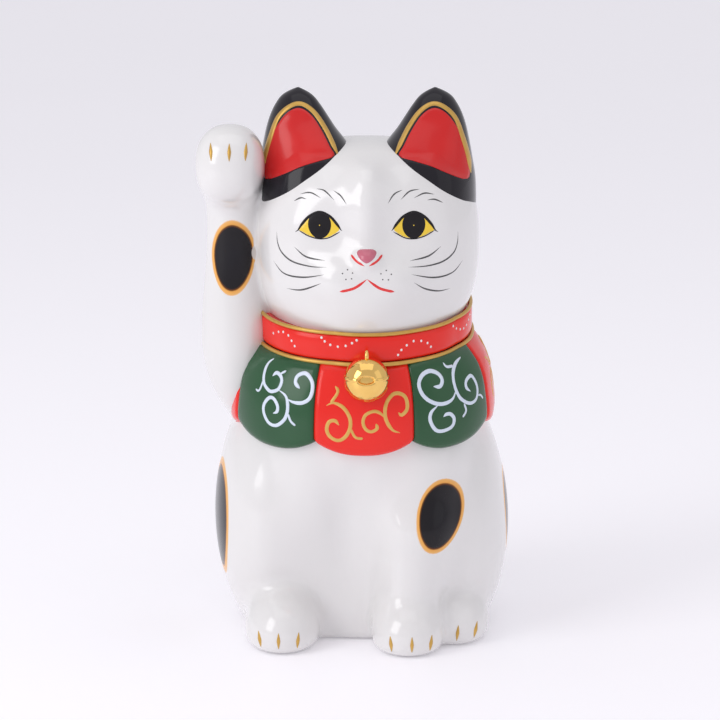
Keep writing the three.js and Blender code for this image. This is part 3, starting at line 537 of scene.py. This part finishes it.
INK = finish_of("dark_line", (0.012, 0.011, 0.013), (0.02, 0.018, 0.02), 0.3, coat=0.0, grain=400, mirror=0.15)
HAIR = finish_of("grey_line", (0.035, 0.034, 0.036), (0.08, 0.078, 0.08), 0.34, coat=0.3, grain=400)
MOUTH = finish_of("red_line", (0.72, 0.02, 0.02), (0.82, 0.04, 0.035), 0.28, coat=0.3, grain=400)
SPOT = finish_of(
    "spot_glaze", (0.012, 0.010, 0.014), (0.02, 0.018, 0.022), 0.15, coat=0.05, grain=90, mirror=0.25,
    ramp=[(0.0, (0.008, 0.007, 0.011)), (0.80, (0.010, 0.008, 0.010)), (0.845, (0.16, 0.05, 0.008)),
          (0.875, (0.90, 0.42, 0.09)), (0.955, (0.92, 0.50, 0.16)), (1.0, (0.88, 0.80, 0.74))])


# ---- the casting: body, head and raised arm under one glaze, with the firing vent below ----
def cat_skin(P):
    hole = np.maximum(np.hypot(P[:, 0] + 0.6, P[:, 1] - 24.75) - 4.0, P[:, 2] - 9.0)
    return np.maximum(skin_shape(P), -hole)


P, faces = iso(cat_skin, (-62, -56, -3.2), (62, 54, 178), 0.8)
make("glazed_casting", P, faces, GLAZE, ("body_casting", "head_casting", "raised_arm_casting"))


# ---- ears ----
EAR_MID = np.array([0.62, 0.45])
dish_edge = smooth_line(DISH, 0.02, closed=True)[:-1]
from_mid = dish_edge - EAR_MID
dish_polar = np.stack([np.arctan2(from_mid[:, 1], from_mid[:, 0]), np.linalg.norm(from_mid, axis=1)], 1)
dish_polar = dish_polar[np.argsort(dish_polar[:, 0])]


def ear_parts(x, z):
    """Place of a point in the ear's own face, and where the face lies there."""
    u = x / HALF_HEAD
    v = (z - EAR_ROOT_Z) / (EAR_TIP_Z - EAR_ROOT_Z)
    turn = np.arctan2(v - EAR_MID[1], u - EAR_MID[0])
    rim = np.interp(turn, dish_polar[:, 0], dish_polar[:, 1], period=2 * math.pi)
    q = np.hypot(u - EAR_MID[0], v - EAR_MID[1]) / rim
    inner, outer, front, back = ear_row(z)
    half = (outer - inner) / 2
    off = np.clip(np.abs((x - (inner + outer) / 2) / half), 0, 0.995)
    lead = (1 - off ** 2.05) ** (1 / 2.05)
    face = (front + back) / 2 - (back - front) / 2 * lead + EAR_TURN * (x - (inner + outer) / 2)
    return q, face


def carved_ear(P):
    x = P[:, 0] - HEAD_X
    q, face = ear_parts(x, P[:, 2])
    hollow = np.maximum(P[:, 1] - face - EAR_DISH * (1 - np.clip(q, 0, 1.2) ** 2), (q - 1) * 9)
    d = np.maximum(ear_shape(P), -hollow)
    root = -head_shape(P) - 2.5
    return np.maximum(np.maximum(d, root), EAR_ROOT_Z - 6 - P[:, 2])


def mirrored(P):
    return np.stack([2 * HEAD_X - P[:, 0], P[:, 1], P[:, 2]], 1)


P, faces = iso(carved_ear, (0, -44, 138), (42, 24, 184), 0.5, settle=1)
make("ear_left", P, faces, BLACK, ("left_ear",))
make("ear_right", mirrored(P), [f[::-1] for f in faces], BLACK, ("right_ear",))

rings, spots = 16, 96
turns = np.linspace(-math.pi, math.pi, spots, endpoint=False)
rim = np.interp(turns, dish_polar[:, 0], dish_polar[:, 1], period=2 * math.pi)
lining = []
for share in np.linspace(0.02, 0.97, rings):
    u = EAR_MID[0] + share * rim * np.cos(turns)
    v = EAR_MID[1] + share * rim * np.sin(turns)
    x, z = u * HALF_HEAD, EAR_ROOT_Z + v * (EAR_TIP_Z - EAR_ROOT_Z)
    q, face = ear_parts(x, z)
    y = face + EAR_DISH * (1 - q ** 2) - 0.14 - 0.5 * np.clip(q - 0.93, 0, 1)
    lining.append(np.stack([x + HEAD_X, y, z], 1))
lower = [row + np.array([0, 0.8, 0]) for row in lining[::-1]]
P, faces = lofted(lining + lower)
make("ear_left_lining", P, faces, EAR_RED, ("left_ear_lining",))
make("ear_right_lining", mirrored(P), [f[::-1] for f in faces], EAR_RED, ("right_ear_lining",))


def on_ear(side):
    def chart(flat):
        u, v = flat[:, 0] / 20.0, flat[:, 1] / 20.0
        x, z = u * HALF_HEAD, EAR_ROOT_Z + v * (EAR_TIP_Z - EAR_ROOT_Z)
        _, face = ear_parts(x, z)
        P = np.stack([x + HEAD_X, face, z], 1)
        n = slope_of(ear_shape, P)[1]
        if side < 0:
            P, n = mirrored(P), n * np.array([-1, 1, 1])
        return P, n
    return chart


LINE_STEPS = (4, 3, 2, 1, 0, 13, 12, 11, 10, 9)  # round the dish from the inner foot over the tip
edge = []
for step in LINE_STEPS:
    way = np.array(DISH[step]) - EAR_MID
    out = 0.026 if DISH[step][0] < 0.8 else 0.003  # the line keeps off the ear's outer turn
    edge.append(20.0 * (EAR_MID + way * (1 + out / np.linalg.norm(way))))
for side, word in ((1, "left"), (-1, "right")):
    obj = ribbon(f"ear_{word}_gilt_line", edge, 0.75, on_ear(side), GOLD_LINE, 0.3, (0.08, 0.08), 0.5)
    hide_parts(f"{word}_ear_gilt_line")


# ---- tail ----
def tail_shape(P):
    d = dome(P, (8.4, 44.1, 21.0), (9.0, 8.5, 14.0), 2.2, 2.4)
    return np.maximum(d, -body_shape(P) - 3)


P, faces = iso(tail_shape, (-4, 30, 4), (20, 56, 38), 0.6)
make("bobbed_tail", P, faces, BLACK, ("tail",))

# ---- collar ----
loops = []
for turn in circle(180):
    part = np.array([0, 0.06, 0.2, 0.5, 0.8, 0.94, 1])
    height = COLLAR_BOTTOM + part * (COLLAR_TOP - COLLAR_BOTTOM)
    r, start, way = band_radius(np.full(7, turn), height)
    r = r - np.array([0.7, 0.22, 0, 0, 0, 0.22, 0.7])
    face = start + r[:, None] * way
    back = (start + (r - 4.0)[:, None] * way)[::-1][[0, 3, 6]]
    loops.append(np.vstack([face, back]))
P, faces = lofted(loops, closed=True)
make("collar", P, faces, RED, ("collar_band",))


def cord_round(name, height, out, radius, node):
    loops = []
    for turn in circle(200):
        r, start, way = band_radius(np.array([turn]), np.array([height]))
        centre = start[0] + (r[0] + out) * way[0]
        up = np.array([0, 0, 1.0])
        ring = [centre + radius * (math.cos(a) * way[0] + math.sin(a) * up) for a in circle(12)]
        loops.append(np.array(ring))
    P, faces = lofted(loops, closed=True)
    make(name, P, faces, GOLD_LINE, (node,))


cord_round("collar_piping_upper", COLLAR_TOP + 0.55, -0.45, 0.62, "collar_upper_piping")
cord_round("collar_piping_lower", COLLAR_BOTTOM - 0.6, 0.1, 0.7, "collar_lower_piping")

# White dotted arcs on the collar: (turn in degrees, height).
ARCS = [
    [(-53, 106.0), (-48.4, 107.2), (-44.8, 107.7), (-41.1, 107.1), (-39, 105.6), (-37, 104.1)],
    [(-21.8, 108.3), (-20.1, 107.2), (-17.2, 106.2), (-13.3, 105.8), (-9.2, 106.3), (-6, 107.3), (-3.7, 108.3)],
    [(17.1, 103.0), (18.9, 104.5), (21.8, 105.8), (25.7, 106.8), (30.2, 106.4), (34, 105.3), (36.2, 103.8)],
    [(54, 108.0), (57.5, 106.6), (61.5, 105.7), (65.5, 105.3), (69.5, 105.8), (73, 106.9), (76, 108.0)],
    [(96, 103.0), (98.5, 104.5), (102, 105.8), (106, 106.6), (110, 106.4), (114, 105.3), (117, 103.8)],
    [(136, 108.0), (139, 106.8), (143, 105.8), (147, 105.4), (151, 105.8), (154.5, 106.8), (157, 108.0)],
    [(176, 103.0), (178.5, 104.5), (182, 105.8), (186, 106.6), (190, 106.4), (194, 105.3), (197, 103.8)],
    [(216, 108.0), (219, 106.8), (223, 105.8), (227, 105.4), (231, 105.8), (234.5, 106.8), (237, 108.0)],
    [(256, 103.0), (258.5, 104.5), (262, 105.8), (266, 106.6), (270, 106.4), (274, 105.3), (277, 103.8)],
]


def dots(name, centres, radius, chart, material, height=0.16):
    """Small raised drops of enamel, all in one piece."""
    P, faces = [], []
    flat, n = [], 12
    for a, b in centres:
        flat.append((a, b))
        for ring in (0.6, 1.0):
            flat += [(a + radius * ring * math.cos(t), b + radius * ring * math.sin(t)) for t in circle(n)]
    place, normal = chart(np.array(flat))
    size = 1 + 2 * n
    for k in range(len(centres)):
        rows = slice(k * size, (k + 1) * size)
        up = np.array([height] + [height * 0.72] * n + [-0.04] * n)
        top = place[rows] + normal[rows] * up[:, None]
        under = place[k * size:k * size + 1] - normal[k * size:k * size + 1] * 0.4
        base = len(P)
        P += list(top) + list(under)
        inner, outer = base + 1, base + 1 + n
        pairs = [(j, (j + 1) % n) for j in range(n)]
        faces += [(base, inner + j, inner + k) for j, k in pairs]
        faces += [(inner + j, outer + j, outer + k, inner + k) for j, k in pairs]
        faces += [(outer + j, base + size, outer + k) for j, k in pairs]
    P = np.array(P)
    make(name, P, outward(P - P.mean(0), faces), material)


centres = [(math.radians(a) * TURN_SCALE, h) for arc in ARCS for a, h in arc]
dots("collar_dots", centres, 0.48, on_band, DOT)

# ---- bib ----
HEM, SCALLOP = 0.676 * NECK_Z, 4.2
BIB_TOP = COLLAR_BOTTOM - 0.95
PANELS = [("front", RED, "red_enamel"), ("front_left", GREEN, "green_enamel"), ("left", RED, "red_enamel"),
          ("back_left", GREEN, "green_enamel"), ("back", RED, "red_enamel"), ("back_right", GREEN, "green_enamel"),
          ("right", RED, "red_enamel"), ("front_right", GREEN, "green_enamel")]
for number, (word, material, slot) in enumerate(PANELS):
    loops = []
    for t in np.linspace(0, 1, 33):
        edge_in = 0.45 * np.clip(1 - min(t, 1 - t) / 0.02, 0, 1) ** 2
        turn = (number - 0.5 + 0.003 + t * 0.994) * math.pi / 4
        hem = HEM + SCALLOP * abs(2 * t - 1) ** 2.4
        part = np.array([0, 0.012, 0.035, 0.07, 0.12, 0.2, 0.3, 0.4, 0.5, 0.6, 0.7, 0.8, 0.9, 1.0])
        height = hem + part * (BIB_TOP - hem)
        r, body, start, way = bib_radius(np.full(len(part), turn), height)
        drop = np.clip(1 - (height - hem) / 2.2, 0, 1)
        outer = r - 2.2 * (1 - np.sqrt(np.clip(1 - drop ** 2, 0, 1))) - edge_in
        outer = np.maximum(outer, body + 0.35)
        back = (start + (body - 1.2)[:, None] * way)[::-1][[0, 4, 8, 13]]
        loops.append(np.vstack([start + outer[:, None] * way, back]))
    P, faces = lofted(loops)
    make(f"bib_{word}", P, faces, material, (f"bib_panel_{word}",))

# Scrollwork on the bib: (turn in degrees, height) of each brush stroke.
VINES = {
    "front_right": (VINE, "green_enamel", [
        ([(-47.5, 99.3), (-50.5, 97.3), (-50.4, 94.5), (-48.9, 91.6), (-45.2, 89.8), (-42.6, 89.9), (-40.1, 91.1),
          (-39.4, 93.5), (-41, 95), (-43.5, 95.4), (-45, 94.2)], 1.1),
        ([(-38.5, 96.6), (-40.7, 95.5), (-40.7, 94.5)], 0.7),
        ([(-49.6, 92.3), (-50.2, 89.8), (-51.3, 88.6), (-53.1, 88.9)], 0.7),
        ([(-40, 90.7), (-36.4, 89.5), (-34.9, 87.6), (-34.6, 84.6), (-36, 81.7), (-39.7, 79.4), (-43.7, 79.6),
          (-46.6, 82.2), (-47, 84.9), (-44.6, 87.5), (-42, 87.7), (-39.7, 85.8), (-39.7, 83.9), (-41.7, 83)], 1.15),
        ([(-34.3, 84), (-32.8, 81.7), (-30.5, 80.4)], 0.8),
        ([(-35.3, 88.5), (-31.9, 87.8), (-27.9, 88), (-24.9, 89.5), (-23.9, 91.9), (-24.4, 94.4), (-26.6, 96.2),
          (-29.2, 96.8), (-32.1, 95.7), (-32.3, 93.7), (-29.8, 92.2)], 1.2)]),
    "front_left": (VINE, "green_enamel", [
        ([(56.5, 98.4), (48.7, 97.1), (44.7, 94.5), (44.1, 90.6), (46.3, 86.9), (51.5, 84.4), (56.4, 84.6),
          (58.6, 87.3), (57.9, 90.6), (55.6, 92.4), (51.5, 91.4), (50.9, 89.5), (53.1, 87.9)], 1.15),
        ([(41.5, 98.5), (42.7, 97.1), (46.7, 96.8)], 0.8),
        ([(58.5, 85.6), (60.9, 85.1), (62.7, 83.6)], 0.7),
        ([(48, 85), (49, 82.5), (46.7, 80.7)], 0.8),
        ([(44.5, 89.9), (41.3, 87.3), (36.6, 86.6), (31.8, 87.5), (27.4, 90), (25.8, 93.4), (28, 96), (32.5, 97),
          (36.5, 95.9), (37.9, 93.8), (36.1, 92.1), (32.8, 92.4)], 1.25),
        ([(34.1, 86.6), (30.4, 84.6), (29.8, 81.9), (32.3, 78.7), (36, 77.9), (40.5, 78.7), (41.8, 81), (40.1, 82.8),
          (37.9, 83.1), (36.2, 82.5)], 1.2)]),
    "front": (GOLD_PAINT, "red_enamel", [
        ([(-13.5, 93.9), (-12.1, 92.2), (-15, 88.7)], 1.0),
        ([(-16.9, 87.9), (-13.6, 88.8), (-9.3, 87.4), (-6.4, 84.2), (-6.3, 80.9), (-8.4, 78), (-11.6, 76.8),
          (-15.1, 78), (-16.5, 80.3), (-15.5, 82.7), (-13, 83.2), (-11.1, 81.8)], 1.2),
        ([(-6.1, 80.9), (-3.9, 78), (-0.5, 77.5)], 0.9),
        ([(15.9, 79.1), (12.7, 80.1), (10.3, 82.6), (9.3, 85.4), (10.1, 88.8), (12.8, 91.2), (15.8, 91.6),
          (18.6, 90.5), (19.5, 88.2), (19, 86.2), (16.7, 84.8), (15.3, 85.7)], 1.2),
        ([(9.6, 84), (7.1, 85.7), (4.3, 86.3), (0.7, 85.2), (-0.5, 82.9), (0.7, 80.6), (3.2, 79.8), (5.7, 80.8),
          (5.3, 82.4)], 1.1)]),
}
PLAIN_SCROLL = [
    ([(-9, 79.5), (-11.5, 82.2), (-11.2, 86), (-8.2, 88.6), (-4.6, 88), (-3, 85.4), (-4.4, 83.2), (-6.6, 83.8)], 1.1),
    ([(-4, 89.5), (0.5, 91.5), (5.5, 95.5), (10.5, 95.8), (13, 93), (11.5, 90.4), (8.6, 91.2)], 1.1),
    ([(1.5, 92), (4.2, 88.4), (8.6, 86.6), (12.6, 84.2), (12.8, 80.6), (9.6, 79), (6.8, 80.8), (8.2, 83)], 1.1),
    ([(-12, 93.6), (-8.5, 92.6), (-5, 89.6)], 0.9),
]
for number, word in ((2, "left"), (3, "back_left"), (4, "back"), (5, "back_right"), (6, "right")):
    paint = (GOLD_PAINT, "red_enamel") if number % 2 == 0 else (VINE, "green_enamel")
    VINES[word] = (*paint, [([(a + 45 * number, h) for a, h in line], w) for line, w in PLAIN_SCROLL])
for word, (material, slot, strokes) in VINES.items():
    for i, (line, width) in enumerate(strokes):
        flat = [(math.radians(a) * TURN_SCALE, h) for a, h in line]
        ribbon(f"scroll_{word}_{i}", flat, width, on_bib, material, 0.16, (0.16, 0.05))

# ---- bell ----
BELL = np.array([HEAD_X, -0.977 * HALF_DEPTH, 0.878 * NECK_Z])
R = 7.3


def bell_shape(P):
    p = P - BELL
    d = np.linalg.norm(p, axis=1) - R
    d = np.minimum(d, np.maximum(np.linalg.norm(p, axis=1) - R - 0.25, np.abs(p[:, 2] - 0.16 * R) - 0.55))
    lens = np.hypot((p[:, 0] + 0.2) / 2.6, (p[:, 2] - 0.16 * R) / 1.2) - 1
    mouth = np.maximum(np.maximum(lens, p[:, 1]), R - 1.4 - np.linalg.norm(p, axis=1))
    return carve(d, -mouth, 0.5)


P, faces = iso(bell_shape, BELL - 8.4, BELL + 8.4, 0.3, settle=1)
make("round_bell", P, faces, GOLD, ("bell",))
loops = []
for a in circle(48):
    out = np.array([0, math.cos(a), math.sin(a)])
    centre = BELL + R * np.array([0, 0.05, 1.04]) + 0.2 * R * out
    loops.append(np.array([centre + 0.09 * R * (math.cos(b) * out + math.sin(b) * np.array([1.0, 0, 0]))
                           for b in circle(14)]))
P, faces = lofted(loops, closed=True)
make("bell_ring", P, faces, GOLD, ("bell_loop",))

# ---- gilt claws ----
# Feet: share of the half body across, share of the neck's level up, lean.
FOOT_CLAWS = {
    "right_hind_claw_outer": (-0.81, 0.048, -0.15), "right_hind_claw_middle": (-0.662, 0.05, 0),
    "right_hind_claw_inner": (-0.512, 0.048, 0.1), "left_fore_claw_inner": (0.207, 0.045, -0.1),
    "left_fore_claw_middle": (0.369, 0.047, 0), "left_fore_claw_outer": (0.517, 0.045, 0.12),
    "left_hind_claw_middle": (0.73, 0.047, 0.1), "left_hind_claw_outer": (0.874, 0.05, 0.2)}
CLAWS = {node: (x * HALF_BODY, z * NECK_Z, lean) for node, (x, z, lean) in FOOT_CLAWS.items()}
PAW_HALF, PAW_CLAW_RISE = 11.19, 5.59
for word, across, lean in (("outer", -0.5, -0.05), ("middle", 0.03, 0), ("inner", 0.5, 0.05)):
    CLAWS[f"raised_paw_claw_{word}"] = (PAW[0] + across * PAW_HALF, PAW[2] + PAW_CLAW_RISE, lean)
for node, (x, z, lean) in CLAWS.items():
    line = [(x + lean * 2.6, z + 2.7), (x, z), (x - lean * 2.6, z - 2.7)]
    obj = ribbon(f"gilt_{node}", line, 1.25, on_front, GOLD_LINE, 0.4, (0.5, 0.5), 0.6)
    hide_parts(node)

# ---- face ----
for side, word in ((-1, "right"), (1, "left")):
    lid = [(21.9, 138.6), (20.6, 140.6), (18.2, 143.2), (15.0, 144.6), (11.8, 143.4), (9.7, 141.2), (8.3, 139.3)]
    low = [(9.6, 137.9), (12.2, 136.5), (15.2, 136.1), (18.4, 136.8), (20.8, 138.0)]
    both = [(side * a, b) for a, b in lid + low]
    patch(f"eye_{word}", both, on_head, YELLOW, 0.10, power=6)
    pupil = [(side * (15.0 + 4.05 * math.cos(a)), 140.4 + 4.3 * math.sin(a)) for a in circle(20)]
    patch(f"pupil_{word}", pupil, on_head, INK, 0.18, power=8)
    dots(f"glint_{word}", [(side * 15.0, 140.4)], 0.28, on_head, YELLOW, 0.3)
    lid_line = [(side * a, b) for a, b in [(22.8, 137.9)] + lid + [(7.9, 138.9)]]
    ribbon(f"upper_lid_{word}", lid_line, 0.95, on_head, INK, 0.22, (0.2, 0.12))
    low_line = [(side * a, b) for a, b in [(8.4, 138.6)] + low + [(21.9, 138.6)]]
    ribbon(f"lower_lid_{word}", low_line, 0.38, on_head, INK, 0.2, (0.1, 0.1))

STROKES = {
    "whisker": (HAIR, 0.6, [
        [(-23.2, 133), (-19.3, 130.2), (-13.3, 129.5)],
        [(-28.9, 137.1), (-28.6, 133.6), (-27.2, 130.6), (-23.8, 128.2), (-18.4, 127.3), (-12.8, 127.6)],
        [(-30.1, 127.4), (-26.6, 123.9), (-20.7, 123.4), (-13.6, 125.3)],
        [(-25.7, 118.9), (-20.7, 119.2), (-14.6, 122.4)],
        [(23.8, 133.1), (19.7, 130.4), (13.8, 129.4)],
        [(29.4, 137), (29.2, 133.4), (27.9, 130.4), (24.6, 128.2), (19.7, 127.3), (13.3, 127.6)],
        [(31.1, 127.3), (27.6, 124), (21.6, 123.2), (14.3, 125.3)],
        [(27, 118.7), (23, 118.5), (18.9, 119.8), (15.2, 122.5)]]),
    "brow": (HAIR, 0.48, [
        [(-23.3, 147.4), (-21.1, 148.6), (-19.2, 148.4)], [(-21.2, 149.8), (-17.9, 150.4), (-14.6, 149)],
        [(-16, 151.7), (-13.4, 151.2), (-10.4, 148.6)], [(-10.7, 151.5), (-8.3, 150), (-6.4, 147.5)],
        [(11.5, 151.6), (8.7, 150.4), (6.7, 147.7)], [(16.9, 151.5), (13.6, 151), (10.8, 148.6)],
        [(21.7, 149.6), (18.4, 150.2), (15.1, 149)], [(24.5, 146.8), (21.7, 148.1), (19.3, 148.1)]]),
    "mouth": (MOUTH, 0.95, [
        [(-8.6, 120.2), (-6.6, 120.6), (-4.0, 121.4), (-1.8, 122.8), (0.1, 124.3)],
        [(8.8, 120.2), (6.8, 120.6), (4.2, 121.4), (2.0, 122.8), (0.1, 124.3)]]),
    "nostril": (MOUTH, 0.85, [
        [(-5.0, 131.8), (-3.9, 130.6), (-2.6, 129.7), (-0.7, 128.7)], [(5.0, 131.8), (3.9, 130.6), (2.6, 129.7), (0.7, 128.7)]]),
}
for word, (material, width, lines) in STROKES.items():
    slot = "red_enamel" if material is MOUTH else "black_glaze"
    for i, line in enumerate(lines):
        ends = (0.1, 0.3) if word in ("mouth", "nostril") else (0.4, 0.4)
        ribbon(f"{word}_{i}", line, width, on_head, material, 0.12, ends)
MUZZLE = [(-6.1, 127.2), (-7.7, 126), (-4.5, 126.2), (-6.6, 124.2), (-4.8, 124.4),
          (6.2, 127), (4.5, 126), (7.8, 125.8), (5.1, 124.2), (6.9, 124.1)]
dots("muzzle_dots", MUZZLE, 0.27, on_head, HAIR, 0.1)
pad = [(-3.2, 132.6), (-2.2, 133.6), (0, 133.8), (2.2, 133.6), (3.2, 132.6),
       (2.5, 131.2), (1.2, 130.1), (0, 129.6), (-1.2, 130.1), (-2.5, 131.2)]
obj = patch("nose_pad", pad, on_head, PINK, 0.45, power=3)
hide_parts("nose")


# ---- spots ----
def egg(cx, cz, wide, tall, lean=0.0, bend=0.04):
    out = []
    for a in circle(28):
        r = 1 + bend * math.sin(3 * a + 0.7) + 0.6 * bend * math.cos(2 * a + 1.9)
        x, z = wide * r * math.cos(a), tall * r * math.sin(a)
        out.append((cx + x + lean * z, cz + z))
    return out


def turned(degrees):
    """That turn about the body, as a distance on its side chart."""
    return math.radians(degrees) * 45


SPOTS = {
    "spot_arm": (egg(-42.6, 127.2, 7.5, 13.0, 0.03, 0.02), on_front),
    "spot_foreleg": (egg(24.7, 45.6, 8.3, 12.6, 0.12, 0.02), on_front),
    "spot_haunch_right": (egg(turned(-75), 38.5, 12, 20.5), on_side),
    "spot_haunch_left": (egg(turned(89), 38.5, 12, 16.0), on_side),
    "spot_back": (egg(turned(197), 58, 11, 12.5), on_side)}
for name, (outline, chart) in SPOTS.items():
    patch(name, outline, chart, SPOT, 0.1, rings=16, power=8)

# ---- stage: pale paper sweep, soft lamps and the photographer's place ----
mesh = bpy.data.meshes.new("floor")
mesh.from_pydata([(-6, -6, -0.0002), (6, -6, -0.0002), (6, 6, -0.0002), (-6, 6, -0.0002)], [], [(0, 1, 2, 3)])
floor = bpy.data.objects.new("floor", mesh)
bpy.context.collection.objects.link(floor)
PAPER = finish_of("paper", (0.93, 0.915, 0.95), (0.95, 0.935, 0.97), 0.5, grain=3, bump=0.0, glow=0.16)
mesh.materials.append(PAPER)

world = bpy.data.worlds.new("studio")
world.use_nodes = True
world.node_tree.nodes["Background"].inputs["Color"].default_value = (0.93, 0.92, 0.965, 1)
world.node_tree.nodes["Background"].inputs["Strength"].default_value = 0.72
bpy.context.scene.world = world


def lamp(name, place, size, power, aim=(0, 0, 0.09), colour=(1, 1, 1)):
    data = bpy.data.lights.new(name, "AREA")
    data.shape, data.size, data.size_y = "RECTANGLE", size[0], size[1]
    data.energy, data.color = power, colour
    obj = bpy.data.objects.new(name, data)
    obj.location = place
    obj.rotation_euler = (Vector(aim) - Vector(place)).to_track_quat("-Z", "Y").to_euler()
    bpy.context.collection.objects.link(obj)


lamp("box_left", (-0.75, -0.55, 0.55), (0.5, 0.8), 3.3)
lamp("box_right", (0.85, -0.35, 0.45), (0.5, 0.8), 0.3)
lamp("box_top", (0.0, -0.1, 1.0), (0.9, 0.7), 1.0)

TARGET = Vector((-1.33, 0.0, 89.3)) * MM
UP_ANGLE = math.radians(12)
camera = bpy.data.objects.new("camera", bpy.data.cameras.new("camera"))
camera.location = TARGET + Vector((0, -math.cos(UP_ANGLE), math.sin(UP_ANGLE)))
camera.rotation_euler = (math.radians(90) - UP_ANGLE, 0, 0)
camera.data.lens = 150.0
camera.data.sensor_width = 36.0
bpy.context.collection.objects.link(camera)
bpy.context.scene.camera = camera
bpy.context.scene.view_settings.view_transform = "Standard"
